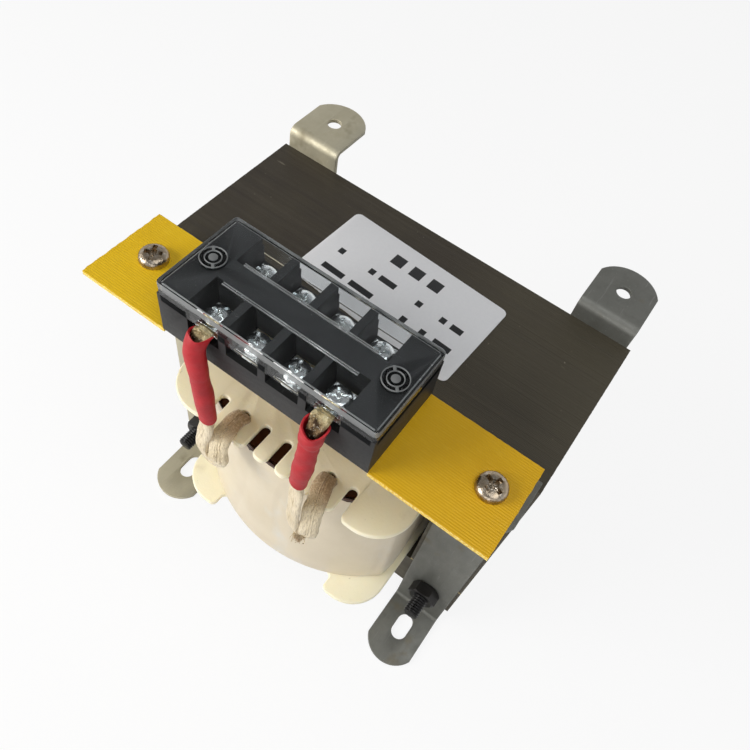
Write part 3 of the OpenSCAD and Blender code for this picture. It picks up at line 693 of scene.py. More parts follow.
# bobbin
bobLow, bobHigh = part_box("bobbin")
bobbin = dict(cheek=0.002, corner=0.013, slots=7, pitch=0.008, slotWide=0.003, slotLong=0.0103, mouth=0.002,
              recessHalf=0.025, recess=0.006, edge=0.0006, wall=0.0016, gap=0.0003, tubeShort=0.0005,
              warp=-0.0006, material=bobbinNylon())


def cheekEdge(y, reach):
    # reach of the cheek along X at a place across
    over = max(abs(y) - (bobHigh.y - bobbin["corner"]), 0)
    return reach - bobbin["corner"] + math.sqrt(max(bobbin["corner"] ** 2 - over ** 2, 0))


def cheekEnd(reach, openings):
    # one end of a cheek from left to right, with each opening as (middle, half width, depth, round)
    lip = bobbin["mouth"]
    path = [(cheekEdge(y, reach), y) for y in bobHigh.y * np.sin(np.linspace(-math.pi / 2, math.pi / 2, 81))
            if all(abs(y - middle) > half + lip for middle, half, deep, round_ in openings)]
    for middle, half, deep, round_ in openings:
        edges = []
        for side in (-1, 1):
            quarter = np.linspace(0, math.pi / 2, 8)
            turns = [(lip * (1 - math.sin(a)), lip * (1 - math.cos(a))) for a in quarter]
            edges.append([(cheekEdge(middle + side * (half + u), reach) - v,
                           middle + side * (half + u)) for u, v in turns])
        bottom = reach - deep
        if round_:
            inner = circle(bottom + half, middle, half, 10, -math.pi / 2, -math.pi)
        else:
            inner = circle(bottom + lip, middle - half + lip, lip, 6, -math.pi / 2, -math.pi / 2)
            inner += circle(bottom + lip, middle + half - lip, lip, 6, math.pi, -math.pi / 2)
        spot = next((i for i, p in enumerate(path) if p[1] > middle), len(path))
        path[spot:spot] = edges[0] + inner + edges[1][::-1]
    return path


def cheekOutline(openings):
    return cheekEnd(bobHigh.x, openings) + [(-x, -y) for x, y in cheekEnd(-bobLow.x, openings)]


b = bobbin
slotYs = [(i - (b["slots"] - 1) / 2) * b["pitch"] for i in range(b["slots"])]
slotOpenings = [(y, b["slotWide"] / 2, b["slotLong"], True) for y in slotYs]
tubeX, tubeY = eHigh.x + b["gap"] + b["wall"], limb + b["gap"] + b["wall"]
window = roundBox(tubeX - b["wall"], tubeY - b["wall"], 0.0003, 3)
upper = plate("upperCheek", [cheekOutline(slotOpenings), window], bobHigh.z - b["cheek"], bobHigh.z,
              b["edge"], 3)
recess = [(0, b["recessHalf"], b["recess"], False)]
lower = plate("lowerCheek", [cheekOutline(recess), window], bobLow.z, bobLow.z + b["cheek"], b["edge"], 3)
tube = plate("bobbinTube", [roundBox(tubeX, tubeY, 0.0004, 3), window], bobLow.z + b["tubeShort"],
             bobHigh.z - b["tubeShort"], 0.00005, 0)


def warped(mesh):
    # moulded cheeks aren't quite flat near their rims
    for vert in mesh.vertices:
        out = max(abs(vert.co.x) - eHigh.x, 0) / (bobHigh.x - eHigh.x)
        vert.co.z += bobbin["warp"] * out * wobble(vert.co.x, vert.co.y, 0, 0.03, 5.0)
    return mesh


newPiece("bobbinForm", joined("bobbinForm", [warped(upper), warped(lower), tube]), b["material"],
         "bobbin_nylon", "bobbin")
print("bobbin: %d slots a side" % b["slots"])


# coil wrap
wrapLow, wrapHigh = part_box("coil_wrap")
wrap = dict(thick=0.0015, corner=0.024, around=320, tall=44, swell=0.0004, crease=0.00022, belly=0.0014,
            waist=0.0004, tuck=0.0006, material=wrapFilm())


def wrapMesh():
    # a bulging ring, fuller at its foot, with soft hollows and a few creases
    w = wrap
    middle = (wrapHigh.x + wrapLow.x) / 2
    outer = [(x + middle, y) for x, y in roundBox(wrapHigh.x - middle, wrapHigh.y, w["corner"], 24)]
    loop = outer + outer[:1]
    lengths = np.concatenate([[0], np.cumsum([math.dist(p, q) for p, q in zip(loop, loop[1:])])])
    at = np.linspace(0, lengths[-1], w["around"] + 1)[:-1]
    ring = [Vector(p) for p in zip(*(np.interp(at, lengths, [p[axis] for p in loop]) for axis in (0, 1)))]
    ring = [p * min(1, wrapHigh.x / p.length) for p in ring]
    out = []
    for k in range(w["around"]):
        d = ring[(k + 1) % w["around"]] - ring[k - 1]
        out.append(Vector((d.y, -d.x)).normalized())
    rings = []
    for j in range(w["tall"] + 1):
        f = j / w["tall"]
        z = wrapLow.z + (wrapHigh.z - wrapLow.z) * f
        fade = min(min(f, 1 - f) * 12, 1)
        row = []
        for p, o in zip(ring, out):
            soft = w["swell"] * (wobble(p.x, p.y, z, 0.022) - 0.3)
            fold = -w["crease"] * max(0, 1 - abs(wobble(p.x, p.y, z * 0.3 + 1, 0.016)) * 9)
            bulge = (w["belly"] * (1 - f) ** 2 - w["waist"] * f) * max(0, p.x / wrapHigh.x - 0.5) * 2
            at = p + o * ((soft + fold) * fade + bulge - w["tuck"] * (1 - fade))
            row.append((at.x, at.y, z))
        rings.append(row)
    inner = [p - o * w["thick"] for p, o in zip(ring, out)]
    rings = [[(p.x, p.y, wrapLow.z) for p in inner]] + rings + [[(p.x, p.y, wrapHigh.z) for p in inner]]
    return ringStack("coilWrap", rings, closed=True, smooth=0.9)


newPiece("coilWrap", wrapMesh(), wrap["material"], "wrap_film", "coil_wrap")
print("coil wrap")


# terminal board: ribbed sheet
boardLow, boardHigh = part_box("terminal_board")
board = dict(ridge=0.00073, deep=0.00007, holeRadius=0.002, endHole=0.0015, saw=0.00022, setBack=0.0013)
blockLow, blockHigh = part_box("terminal_block")
board["material"] = yellowBoard(board["ridge"])


def boardMesh():
    b = board
    across = np.linspace(boardLow.x, boardHigh.x, int((boardHigh.x - boardLow.x) / b["ridge"] * 6))
    along = np.sort(np.concatenate([np.linspace(boardLow.y, boardHigh.y, 120),
                                    [blockLow.y, blockLow.y + 0.0002, blockHigh.y - 0.0002, blockHigh.y]]))
    rings = []
    for y in along:
        end = 1 if y in (along[0], along[-1]) else 0
        back = b["setBack"] if blockLow.y < y < blockHigh.y else 0
        top = []
        for x in across:
            ripple = 1 - abs(math.sin(math.pi * x / b["ridge"]))
            notch = end * b["saw"] * wobble(x, y, 1, 0.0015) * np.sign(-y)
            top.append((x, y + notch, boardHigh.z - b["deep"] * ripple))
        low = [(x, p[1], boardLow.z + b["deep"] * 0.3) for x, p in zip(across, top)][::-1]
        row = []
        for x, yy, z in top + low:
            outward = np.sign(x - across.mean()) * (x in (across[0], across[-1]))
            row.append((min(x - b["saw"] * abs(wobble(x, yy, z, 0.0012)) * outward, across[-1] - back), yy,
                        z))
        rings.append(row)
    mesh = ringStack("board", rings, smooth=1.0)
    form = bmesh.new()
    form.from_mesh(mesh)
    bmesh.ops.recalc_face_normals(form, faces=form.faces)
    bmesh.ops.triangulate(form, faces=[f for f in form.faces if len(f.verts) > 4])
    form.to_mesh(mesh)
    form.free()
    cutters = []
    for node, radius in (("board_screws", b["holeRadius"]), ("block_screws", b["endHole"])):
        low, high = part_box(node)
        x, reach = (low.x + high.x) / 2, (high.x - low.x) / 2
        for y in (low.y + reach, high.y - reach):
            drill = lathe("drill", [(0, 0), (radius, 0), (radius, 0.004), (0, 0.004)], 24)
            cutters.append(moved(drill, Matrix.Translation((x, y, boardLow.z - 0.001))))
    return smoothed(carve(mesh, cutters), 1.0)


newPiece("terminalBoard", boardMesh(), board["material"], "epoxy_board", "terminal_board")
print("terminal board")


# screw heads
def screwHead(wide, tall, arm, depth, slot=1.0):
    # a pan head with a cross, whose first arm is slot times as long
    r = wide / 2
    profile = [(0, 0), (r * 0.96, 0), (r, tall * 0.1), (r, tall * 0.42), (r * 0.95, tall * 0.66),
               (r * 0.82, tall * 0.86),
               (r * 0.6, tall * 0.97), (r * 0.3, tall), (0, tall)]
    head = lathe("head", profile, 40)
    top = tall - depth
    cutters = []
    for turn, reach in ((0, r * 0.66 * slot), (math.pi / 2, r * 0.6)):
        blade = softBox(reach * 2, arm, depth * 2, arm * 0.12, 1)
        cutters.append(moved(blade, Matrix.Translation((0, 0, top + depth)) @ Matrix.Rotation(turn, 4, "Z")))
    point = [(0, -depth * 0.7), (arm * 1.05, depth * 0.6), (arm * 1.2, depth * 2), (0, depth * 2)]
    cutters.append(moved(lathe("point", point, 16), Matrix.Translation((0, 0, top))))
    return smoothed(carve(head, cutters), 0.5)


def nodePlaces(node, count, reach):
    # middles of equal things in a node, spread along Y
    low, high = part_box(node)
    return [low.y + reach + (high.y - low.y - 2 * reach) * i / (count - 1) for i in range(count)]


boardScrew = dict(head=0.0086, tall=0.0028, arm=0.0013, depth=0.0017, radius=0.002, length=0.008,
                  pitch=0.0007, deep=0.0003, flats=0.007, bore=0.92, turns=(0.5, 1.15),
                  material=brightMetal("screwNickel", tint(178, 158, 130), tint(116, 100, 80), 0.2, 0.0002))
s = boardScrew
screwLow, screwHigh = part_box("board_screws")
headMesh = screwHead(s["head"], s["tall"], s["arm"], s["depth"])
shankMesh = thread(s["radius"], s["pitch"], s["length"], s["deep"])
nutLow4, nutHigh4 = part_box("board_nuts")
screws, nuts = [], []
for y, turn in zip((-holeY, holeY), s["turns"]):
    place = placed((screwLow.x + screwHigh.x) / 2, y, screwHigh.z - s["tall"], turn)
    screws += [moved(headMesh, place), moved(shankMesh, place @ Matrix.Rotation(math.pi, 4, "X"))]
    nutPlace = placed((screwLow.x + screwHigh.x) / 2, y, nutLow4.z, turn)
    nut = hexHead(s["flats"], nutHigh4.z - nutLow4.z, s["radius"] * s["bore"], lower=True)
    nuts.append(moved(nut, nutPlace))
newPiece("boardScrews", joined("boardScrews", screws), s["material"], "nickel", "board_screws")
newPiece("boardNuts", joined("boardNuts", nuts), s["material"], "nickel", "board_nuts")
print("board screws: %d" % len(nuts))


# terminal block
block = dict(edge=0.00035, material=blockPlastic())
newPiece("terminalBlock", softened("terminal_block", block["edge"]), block["material"], "block_plastic",
         "terminal_block")

terminal = dict(ways=4, plate=0.0076, thick=0.001, radius=0.00175, head=0.0072, tall=0.0024, arm=0.0009,
                depth=0.0012, slot=1.3, lug=0.0008, pitch=0.0006, length=0.0058, deep=0.00025, tilt=0.05,
                corner=0.0006, hole=1.03, edge=0.00015, raised=0.28, groove=0.00006, grooves=9.5, seed=11,
                barMaterial=brightMetal("barBrass", tint(206, 190, 140), tint(176, 156, 106), 0.28, 0.0001))
terminal["plateMaterial"] = brightMetal("plateZinc", tint(236, 238, 236), tint(206, 210, 210), 0.16, 0.0003)
terminal["screwMaterial"] = brightMetal("screwZinc", tint(250, 252, 252), tint(222, 228, 230), 0.09, 0.00015)
t = terminal
plateLow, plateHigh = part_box("clamp_plates")
wayYs = nodePlaces("clamp_plates", t["ways"], t["plate"] / 2)
rowXs = (plateLow.x + t["plate"] / 2, plateHigh.x - t["plate"] / 2)
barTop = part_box("terminal_bars")[1].z


def clampPlate():
    # a square washer, its two free edges turned up and grooved
    half, thick, across = t["plate"] / 2, t["thick"], t["grooves"]
    outline = [roundBox(half, half, t["corner"], 4), circle(0, 0, t["radius"] * t["hole"], 24)]
    flat = plate("clampPlate", outline, 0, thick, t["edge"], 1)
    form = bmesh.new()
    form.from_mesh(flat)
    for i in range(-9, 10):
        everything = form.verts[:] + form.edges[:] + form.faces[:]
        bmesh.ops.bisect_plane(form, geom=everything, plane_co=(i * half / across, 0, 0), plane_no=(1, 0, 0))
    for vert in form.verts:
        edge = max(abs(vert.co.x) - half * (1 - t["raised"]), 0) / (half * t["raised"])
        vert.co.z += edge * edge * thick * 0.5 - t["groove"] * (abs(vert.co.x / half * across) % 2 < 1)
    form.to_mesh(flat)
    form.free()
    return smoothed(flat, 0.4)


random.seed(t["seed"])
plates, screws = [], []
plateMesh, headMesh = clampPlate(), screwHead(t["head"], t["tall"], t["arm"], t["depth"], t["slot"])
threadMesh = thread(t["radius"], t["pitch"], t["length"], t["deep"], 20)
for way, y in enumerate(wayYs):
    for x in rowXs:
        wired = x == rowXs[1] and way in (0, t["ways"] - 1)
        base = barTop + (t["lug"] if wired else 0)
        spin = random.uniform(0, math.pi)
        tilt = Matrix.Rotation(random.uniform(-t["tilt"], t["tilt"]), 4, "Z")
        plates.append(moved(plateMesh, Matrix.Translation((x, y, base)) @ tilt))
        seat = base + t["thick"]
        screws.append(moved(headMesh, placed(x, y, seat, spin)))
        screws.append(moved(threadMesh, placed(x, y, seat, math.pi, "X")))
newPiece("clampPlates", joined("clampPlates", plates), t["plateMaterial"], "bright_zinc", "clamp_plates")
newPiece("terminalScrews", joined("terminalScrews", screws), t["screwMaterial"], "bright_zinc",
         "terminal_screws")
newPiece("terminalBars", softened("terminal_bars", 0.0001, 1), t["barMaterial"], "tinned_brass",
         "terminal_bars")
print("terminals: %d" % len(plates))

endScrew = dict(head=0.0056, tall=0.0022, arm=0.0009, depth=0.0011, radius=0.0015, pitch=0.0005,
                deep=0.0002, nut=0.0055, bore=0.93,
                material=brightMetal("endZinc", tint(190, 190, 184), tint(150, 150, 146), 0.25, 0.0001))
e = endScrew
endLow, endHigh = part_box("block_screws")
endNutLow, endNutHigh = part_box("block_nuts")
screws, nuts = [], []
headMesh = screwHead(e["head"], e["tall"], e["arm"], e["depth"])
for y in (endLow.y + e["head"] / 2, endHigh.y - e["head"] / 2):
    x = (endLow.x + endHigh.x) / 2
    seat = endHigh.z - e["tall"]
    screws.append(moved(headMesh, placed(x, y, seat, y * 90)))
    shank = thread(e["radius"], e["pitch"], seat - endLow.z, e["deep"], 20)
    screws.append(moved(shank, placed(x, y, seat, math.pi, "X")))
    nut = hexHead(e["nut"], endNutHigh.z - endNutLow.z, e["radius"] * e["bore"], lower=True)
    nuts.append(moved(nut, Matrix.Translation((x, y, endNutLow.z))))
newPiece("endScrews", joined("endScrews", screws), e["material"], "bright_zinc", "block_screws")
newPiece("endNuts", joined("endNuts", nuts), e["material"], "bright_zinc", "block_nuts")


# clear cover
coverLow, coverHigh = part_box("terminal_cover")
cover = dict(thick=0.0009, plate=0.0009, edge=0.0003, corner=0.0012, post=0.0035, wall=0.0008,
             postLong=0.006, line=0.0003, lineLong=0.041, lineWide=0.00026, lineApart=0.0006, band=0.0022,
             linePitch=0.008, lineShift=0.0007, postEdge=0.0002, sunk=0.0001, tabTurn=0.7,
             rings=(0.0036, 0.0023, 0.0012), ringWide=0.00028, tab=0.0008,
             material=clearPlastic("clearPlastic", tint(246, 248, 249), 0.02, 1.0),
             hazy=clearPlastic("hazyPlastic", tint(150, 152, 152), 0.24, 0.45))


def coverMesh():
    # rings 0 to 6 climb the outside, 7 and 8 are the underside of the plate
    c = cover
    x, y = (coverLow.x + coverHigh.x) / 2, (coverLow.y + coverHigh.y) / 2
    wide, long_, top = (coverHigh.x - coverLow.x) / 2, (coverHigh.y - coverLow.y) / 2, coverHigh.z - c["line"]
    tall = top - coverLow.z
    edge, under = c["edge"], tall - c["plate"]
    outside = [(c["thick"], 0), (edge, 0), (0, edge), (0, tall - c["band"]), (0, tall - edge),
               (edge * 0.3, tall - edge * 0.3), (edge, tall)]
    rings = []
    for inset, z in outside + [(c["thick"] + edge, under), (c["thick"], under - edge)]:
        loop = roundBox(wide - inset, long_ - inset, c["corner"] - inset * 0.5, 5)
        rings.append([(x + px, y + py, coverLow.z + z) for px, py in loop])
    steps = len(rings[0])
    points = [p for ring in rings for p in ring]
    faces = []
    for a, b in [(8, 0)] + [(i, i + 1) for i in range(6)] + [(7, 8)]:
        for k in range(steps):
            l = (k + 1) % steps
            faces.append((a * steps + k, a * steps + l, b * steps + l, b * steps + k))
    faces.append(tuple(6 * steps + k for k in range(steps)))
    faces.append(tuple(7 * steps + k for k in range(steps))[::-1])
    shell = meshOf("coverShell", points, faces, 0.6)
    parts = [shell]
    for side, twin in ((-1, -1), (-1, 1), (1, -1), (1, 1)):
        line = softBox(c["lineWide"], c["lineLong"], c["line"] * 2, c["lineWide"] * 0.3)
        at = x + c["lineShift"] + side * c["linePitch"] / 2 + twin * c["lineApart"] / 2
        parts.append(moved(line, Matrix.Translation((at, y, top))))
    for py in nodePlaces("block_screws", 2, e["head"] / 2):
        outer, inner = c["post"], c["post"] - c["wall"]
        foot = top - c["thick"] - c["postLong"]
        inside = top - c["thick"] * 0.5
        profile = [(outer - c["postEdge"], foot), (outer, foot + c["postEdge"]), (outer, inside),
                   (inner, inside), (inner, foot)]
        post = lathe("post", profile, 36)
        parts.append(moved(ringClosed(post), Matrix.Translation((x, py, 0))))
        sunk, shoulder, crest = top - c["sunk"], top + c["line"] * 0.6, top + c["line"]
        for radius in c["rings"][:2]:
            bore = radius - c["ringWide"]
            profile = [(radius, sunk), (radius, shoulder), (radius - c["ringWide"] / 2, crest),
                       (bore, shoulder), (bore, sunk)]
            parts.append(moved(ringClosed(lathe("band", profile, 40)), Matrix.Translation((x, py, 0))))
        knob = c["rings"][2]
        profile = [(0, sunk), (knob, sunk), (knob, shoulder), (knob * 0.8, crest), (0, crest)]
        parts.append(moved(lathe("knob", profile, 24), Matrix.Translation((x, py, 0))))
        for a in (c["tabTurn"], c["tabTurn"] + math.pi):
            tab = softBox(c["tab"] * 1.8, c["tab"], c["line"] * 2, c["line"] * 0.5)
            r = (c["rings"][0] + c["rings"][1]) / 2
            parts.append(moved(tab, placed(x + r * math.cos(a), py + r * math.sin(a), top, a)))
    return joined("terminalCover", parts)


def ringClosed(mesh):
    # closes a turned wall between its first and last rings
    form = bmesh.new()
    form.from_mesh(mesh)
    bmesh.ops.bridge_loops(form, edges=[edge for edge in form.edges if edge.is_boundary])
    bmesh.ops.recalc_face_normals(form, faces=form.faces)
    form.to_mesh(mesh)
    form.free()
    return smoothed(mesh, 0.6)


lid = newPiece("terminalCover", coverMesh(), cover["material"], "clear_cover", "terminal_cover")
lid.data.materials.append(cover["hazy"])
for face in lid.data.polygons:
    proud = face.center.z > coverHigh.z - cover["line"] * 0.95
    banded = coverHigh.z - cover["band"] * 1.2 < face.center.z < coverHigh.z - cover["line"] * 1.2
    face.material_index = int(proud or banded and abs(face.normal.z) < 0.75)
print("cover")


# label
labelLow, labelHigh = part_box("rating_label")
label = dict(long=0.059, wide=0.0346, corner=0.002, turn=math.radians(-3), thick=0.0002, bars=[
    dict(at=-0.0098, tall=0.0042, marks=[(-0.0092, -0.005), (-0.0021, 0.0021), (0.005, 0.0092)]),
    dict(at=-0.0005, tall=0.0022,
         marks=[(-0.0235, -0.0215), (-0.0115, -0.0095), (-0.0075, -0.0015), (0.0065, 0.0085),
                (0.0155, 0.0175), (0.0195, 0.0235)]),
    dict(at=0.0075, tall=0.0022, marks=[(-0.0235, -0.0155), (-0.013, -0.0045), (0.0065, 0.0085),
                                        (0.0135, 0.0155), (0.0185, 0.0245)]),
])
middle = ((labelLow.x + labelHigh.x) / 2, (labelLow.y + labelHigh.y) / 2)
labelMesh = plate("ratingLabel", [roundBox(label["wide"] / 2, label["long"] / 2, label["corner"], 8)], 0,
                  label["thick"], 0.00004, 1)
labelMesh.transform(placed(middle[0], middle[1], labelLow.z, label["turn"]))
newPiece("ratingLabel", labelMesh, labelFilm(label, label["turn"], middle), "label_film", "rating_label")


# leads
lead = dict(radius=0.002, tube=0.0028, wall=0.0005, oval=(0.003, 0.0011), neck=0.0014, steps=10, sides=36,
            inTube=0.0016, strandWide=0.00015, spread=0.0008, neckWide=0.0027, neckThick=0.0006, seed=14)
eyelet = dict(radius=0.0037, gap=0.64, reach=0.0056, half=0.0022, hole=0.0018, thick=0.0008, edge=0.00012)
cheekX, cheekTop, slotPitch, sleeveWide = bobHigh.x, bobHigh.z, bobbin["pitch"], lead["radius"] * 2
barrelZ = barTop + lead["radius"] + 0.0001
coilTop, blockFace, wiredX = wrapHigh.z, blockHigh.x, rowXs[1]


def route(slot, steps, ends, wayY):
    inside, rises = cheekX - 2 * sleeveWide, (0, 0.25, 0.55)
    start = [(inside, slot * slotPitch, coilTop + rise * sleeveWide) for rise in rises]
    way = [(cheekX + r * sleeveWide, a * slotPitch, cheekTop + h * (barrelZ - cheekTop)) for r, a, h in steps]
    end = [(blockFace + r * sleeveWide, wayY + a * sleeveWide, barrelZ - d * sleeveWide) for r, a, d in ends]
    return [Vector(p) for p in start + way + end + [(wiredX + 1.1 * sleeveWide, wayY, barrelZ)]]


routes = dict(
    left=dict(slot=-2, way=0, marks=(12, 15, 17.1), step=14.2, folds=0.00002, fold=8.0,
              steps=[(-1.2, -2, 0.045), (0.05, -1.96, 0.045), (0.72, -1.91, 0.023), (1.08, -1.84, -0.06),
                     (1.28, -1.82, -0.14), (1.32, -2.2, -0.21),
                     (1.2, -2.6, -0.14), (1.02, -2.6, -0.01), (0.87, -2.45, 0.124), (0.8, -2.35, 0.263),
                     (0.72, -2.42, 0.447)],
              ends=[(1.01, 0.41, 3.75), (0.94, 0.16, 2.25), (0.81, 0, 1.05), (0.36, 0, 0.18)]),
    right=dict(slot=2, way=3, marks=(12, 14, 15.5), step=14.4, folds=0.00008, fold=8.0,
               steps=[(-1.2, 2.05, 0.045), (0.05, 2.23, 0.045), (0.72, 2.33, 0.023), (1.08, 2.38, -0.106),
                      (1.28, 2.38, -0.244), (1.28, 2.06, -0.332),
                      (1.3, 1.75, -0.256), (1.35, 1.73, -0.06), (1.32, 1.75, 0.171), (1.25, 1.77, 0.401)],
               ends=[(1.41, 0, 4.5), (1.11, 0, 2.63), (0.84, 0, 1.15), (0.36, 0, 0.2)]),
)


def curveAt(points, s):
    i = min(int(s), len(points) - 2)
    t = s - i
    a, b, c, d = points[max(i - 1, 0)], points[i], points[i + 1], points[min(i + 2, len(points) - 1)]
    return (2 * b + (c - a) * t + (2 * a - 5 * b + 4 * c - d) * t ** 2 + (3 * b - a - 3 * c + d) * t ** 3) / 2


def frames(points, start, end, fine):
    # places along the curve with two directions square to it
    count = int((end - start) * fine)
    at = [start + (end - start) * i / count for i in range(count + 1)]
    centres = [curveAt(points, s) for s in at]
    across, result = Vector((0, 1, 0)), []
    for i, centre in enumerate(centres):
        ahead = (centres[min(i + 1, count)] - centres[max(i - 1, 0)]).normalized()
        across = (across - across.dot(ahead) * ahead).normalized()
        result.append((at[i], centre, ahead, across.copy(), ahead.cross(across)))
    return result


def easeIn(value, low, high):
    t = min(max((value - low) / (high - low), 0), 1)
    return t * t * (3 - 2 * t)


def leadTube(name, points, start, end, shape, push=None, wall=0.0):
    # shape gives the radius and push the slip along the lead, for a place along and a turn around
    steps, sides = lead["steps"], lead["sides"]
    outer, inner = [], []
    for s, centre, ahead, across, over in frames(points, start, end, steps):
        ring, bore = [], []
        for k in range(sides):
            a = 2 * math.pi * k / sides
            out = across * math.cos(a) + over * math.sin(a)
            radius = shape(s, a, centre + out * lead["radius"])
            slip = ahead * (push(s, a) if push else 0)
            ring.append(centre + out * radius + slip)
            bore.append(centre + out * (radius - wall) + slip)
        outer.append(ring)
        inner.append(bore)
    return ringStack(name, outer + inner[::-1] if wall else outer, closed=bool(wall), smooth=1.1)


def ovalRadius(a, wide, thin, square=2.6):
    return (abs(math.cos(a) / wide) ** square + abs(math.sin(a) / thin) ** square) ** (-1 / square)


def sleeveShape(tubeAt, fold):
    # squeezed in its slot, a flat ribbon over the cheek and round the fold, rounder in the tube
    def shape(s, a, at):
        wide, thin = lead["oval"]
        inTube = easeIn(s, tubeAt - 0.5, tubeAt + 0.15)
        wide = lead["neck"] + (wide - lead["neck"]) * easeIn(s, 0.9, 2.2)
        wide = wide * (1 - inTube) + lead["inTube"] * inTube
        thin = (thin - 0.0003 * math.exp(-((s - fold) / 0.8) ** 2)) * (1 - inTube) + lead["inTube"] * inTube
        ridges = 0.00011 * math.sin(11 * a + 1.5 * s) + 0.00006 * math.sin(17 * a - 2 * s)
        crush = 0.0004 * wobble(*at, 0.0045, 2.0) * easeIn(s, 2.5, 4) * (1 - inTube)
        return ovalRadius(a, wide, thin) + ridges + crush
    return shape


def tubeShape(start, end, step, folds):
    # narrower at its lower end, flared at its mouth, with a few wrinkles and a step
    def shape(s, a, at):
        t = (s - start) / (end - start)
        wrinkle = folds * math.sin(2 * math.pi * s * 1.7 + 2.2 * math.sin(2 * a))
        wrinkle = wrinkle * easeIn(s, start + 0.3, start + 1)
        crush = 0.00035 * wobble(*at, 0.006, 9.0)
        waist = folds * (-3 * math.exp(-((s - step) / 0.12) ** 2) + 3.5 * easeIn(s, step, step + 0.15))
        flare = 0.0003 * easeIn(t, 0.8, 1) - 0.0003 * (1 - t)
        return lead["tube"] + flare + wrinkle + crush + waist + 0.0002 * math.cos(2 * a)
    return shape


def tubePush(start, end):
    def push(s, a):
        t = (s - start) / (end - start)
        ragged = 0.0011 * math.cos(a) ** 2 + 0.0015 * math.sin(a) + 0.0004 * math.sin(3 * a + 1)
        return ragged * easeIn(t, 0.7, 1) + 0.0003 * math.sin(2 * a) * easeIn(-t, -0.15, 0)
    return push


def lugShape(start, end):
    # solder over strands, then pressed flat and wide towards the ring
    def shape(s, a, at):
        t = easeIn(s, start + 0.5, end - 0.9)
        wide = lead["inTube"] + (lead["neckWide"] - lead["inTube"]) * t
        thin = lead["inTube"] + (lead["neckThick"] - lead["inTube"]) * t
        lumps = (0.0005 * wobble(*at, 0.0017, 3.0) + 0.0002 * wobble(*at, 0.0008, 5.0)) * (1 - 0.6 * t)
        return ovalRadius(a, wide, thin, 2.4) + lumps
    return shape


def strandMesh(points, radius, sides=5):
    centres = [curveAt(points, s) for s in np.linspace(0, len(points) - 1, 12)]
    rings, across = [], Vector((0.3, 1, 0.2))
    for i, centre in enumerate(centres):
        ahead = (centres[min(i + 1, 11)] - centres[max(i - 1, 0)]).normalized()
        across = (across - across.dot(ahead) * ahead).normalized()
        over, thin = ahead.cross(across), radius * (1 - 0.06 * i)
        turns = [2 * math.pi * k / sides for k in range(sides)]
        rings.append([centre + thin * (across * math.cos(a) + over * math.sin(a)) for a in turns])
    return ringStack("strand", rings, smooth=1.5)


def frayed(points, spots, seed):
    # loose strands that lift off the sleeve: place along, way they lean and how many
    random.seed(seed)
    made = []
    for s, lean, count, long_ in spots:
        for i in range(count):
            root = curveAt(points, s + random.uniform(-0.35, 0.35))
            root += Vector([random.uniform(-1, 1) * lead["spread"] for _ in range(3)])
            way = (Vector(lean) + Vector([random.uniform(-0.4, 0.4) for _ in range(3)])).normalized()
            way = way * long_ * random.uniform(0.6, 1.2)
            bow = Vector([random.uniform(-1, 1) for _ in range(3)]) * long_ * 0.25
            strand = [root, root + way * 0.4 + bow * 0.6, root + way * 0.75 + bow, root + way]
            made.append(strandMesh(strand, lead["strandWide"]))
    return made


tufts = dict(left=[(5.3, (0.5, 0.4, -0.6), 8, 0.003)], right=[(7.8, (0.9, 0.25, 0.25), 90, 0.0028)])
stain = dict(side="right", at=7.8, off=(0.003, 0.0006, 0.001), size=0.0034)
allRoutes = {side: route(r["slot"], r["steps"], r["ends"], wayYs[r["way"]]) for side, r in routes.items()}
stainAt = curveAt(allRoutes[stain["side"]], stain["at"]) + Vector(stain["off"])
lead["sleeve"] = sleeveBraid(cheekX, cheekTop, stainAt, stain["size"])
lead["shrink"], lead["lug"] = redShrink(), solderedLug(blockFace)
for side, r in routes.items():
    points = allRoutes[side]
    tubeStart, sleeveEnd, tubeEnd = r["marks"]
    last = len(points) - 1
    sleeve = [leadTube("sleeve", points, 0, sleeveEnd, sleeveShape(tubeStart, r["fold"]))]
    sleeve += frayed(points, tufts[side], lead["seed"])
    newPiece(side + "Sleeve", joined(side + "Sleeve", sleeve), lead["sleeve"], "fibreglass_sleeve",
             side + "_sleeve")
    tube = leadTube("tube", points, tubeStart, tubeEnd,
                    tubeShape(tubeStart, tubeEnd, r["step"], r["folds"]), tubePush(tubeStart, tubeEnd),
                    lead["wall"])
    newPiece(side + "Shrink", tube, lead["shrink"], "red_shrink", side + "_shrink_tube")
    barrel = leadTube("barrel", points, sleeveEnd, last, lugShape(sleeveEnd, last))
    eye = circle(0, 0, eyelet["radius"], 28, eyelet["gap"], 2 * math.pi - 2 * eyelet["gap"])
    eye += [(eyelet["reach"], -eyelet["half"]), (eyelet["reach"], eyelet["half"])]
    tongue = plate("tongue", [eye, circle(0, 0, eyelet["hole"], 20)], 0, eyelet["thick"], eyelet["edge"], 1)
    tongue.transform(Matrix.Translation((wiredX, wayYs[r["way"]], barTop)))
    newPiece(side + "Lug", joined(side + "Lug", [barrel, tongue]), lead["lug"], "solder", side + "_lug")
print("leads: %d" % len(routes))


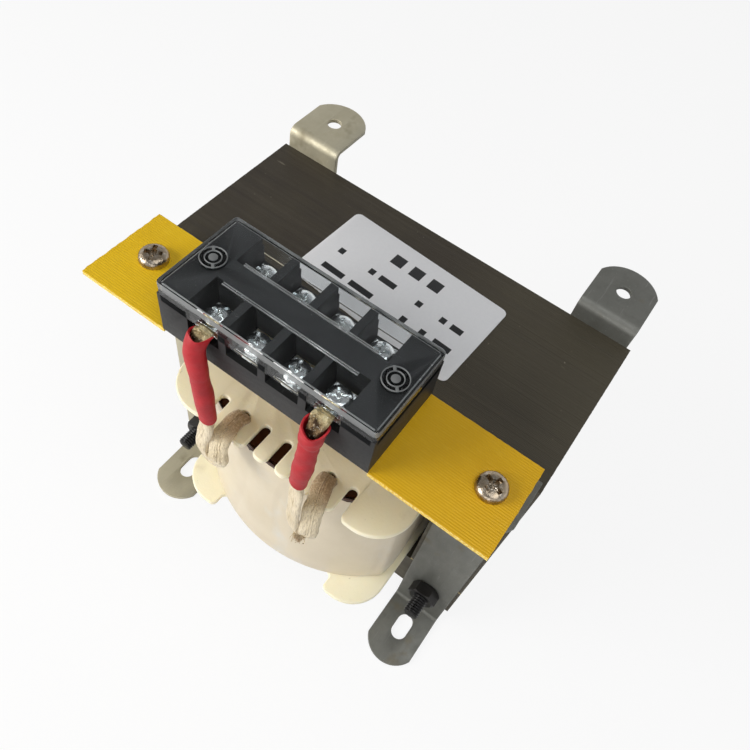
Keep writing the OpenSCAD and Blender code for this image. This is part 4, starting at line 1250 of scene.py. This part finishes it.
# materials for the nodes that stay
kept = dict(gap_shims=plainPaint("shimCard", tint(196, 178, 130), tint(170, 150, 104), 0.6),
            winding=copperWire(0.0014))
for node, material in kept.items():
    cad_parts[node].data.materials.clear()
    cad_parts[node].data.materials.append(material)


# floor and world
stage = dict(floor=4, paper=tint(240, 240, 240), lift=0.86, light=0.24, level=0.15, zenith=0.75, dark=0.26)
corners = [(x * stage["floor"], y * stage["floor"], 0) for x, y in ((-1, -1), (1, -1), (1, 1), (-1, 1))]
floorMesh = meshOf("floor", corners, [(0, 1, 2, 3)])
floor = bpy.data.objects.new("floor", floorMesh)
bpy.context.scene.collection.objects.link(floor)
floor.location.z = -0.0001
p = Paint("floorPaper", Base_Color=stage["paper"], Roughness=0.9)
seen = p.node("ShaderNodeLightPath", {}, {}, "Is Camera Ray")
glow = p.node("ShaderNodeEmission", {}, {0: (1, 1, 1, 1), 1: 1.0})
lifted = p.node("ShaderNodeMixShader", {},
                {0: seen * stage["lift"], 1: Wire(p, p.shader.outputs[0]), 2: glow})
p.feed(p.tree.nodes["Material Output"].inputs[0], lifted)
floorMesh.materials.append(p.material)


class Sky(Paint):
    def __init__(self, world):
        self.tree = world.node_tree

    def ray(self, kind):
        return self.node("ShaderNodeLightPath", {}, {}, kind)

    def mix(self, share, a, b):
        return self.node("ShaderNodeMixShader", {}, {0: share, 1: a, 2: b})

    def plain(self, strength):
        return self.node("ShaderNodeBackground", {}, {0: (1, 1, 1, 1), 1: strength})


world = bpy.data.worlds.new("studio")
world.use_nodes = True
bpy.context.scene.world = world
sky = Sky(world)
height = sky.node("ShaderNodeSeparateXYZ", {}, {0: sky.node("ShaderNodeTexCoord", {}, {}, "Generated")}, 2)
mirrored = sky.plain(sky.rise(height, stage["level"], stage["zenith"], (1, stage["dark"])))
either = sky.node("ShaderNodeMath", dict(operation="MAXIMUM"),
                  {0: sky.ray("Is Glossy Ray"), 1: sky.ray("Is Transmission Ray")})
lit = sky.mix(either, sky.plain(stage["light"]), mirrored)
sky.feed(sky.tree.nodes["World Output"].inputs[0], sky.mix(sky.ray("Is Camera Ray"), lit, sky.plain(1)))
bpy.context.scene.view_settings.view_transform = "Standard"
print("stage ready")
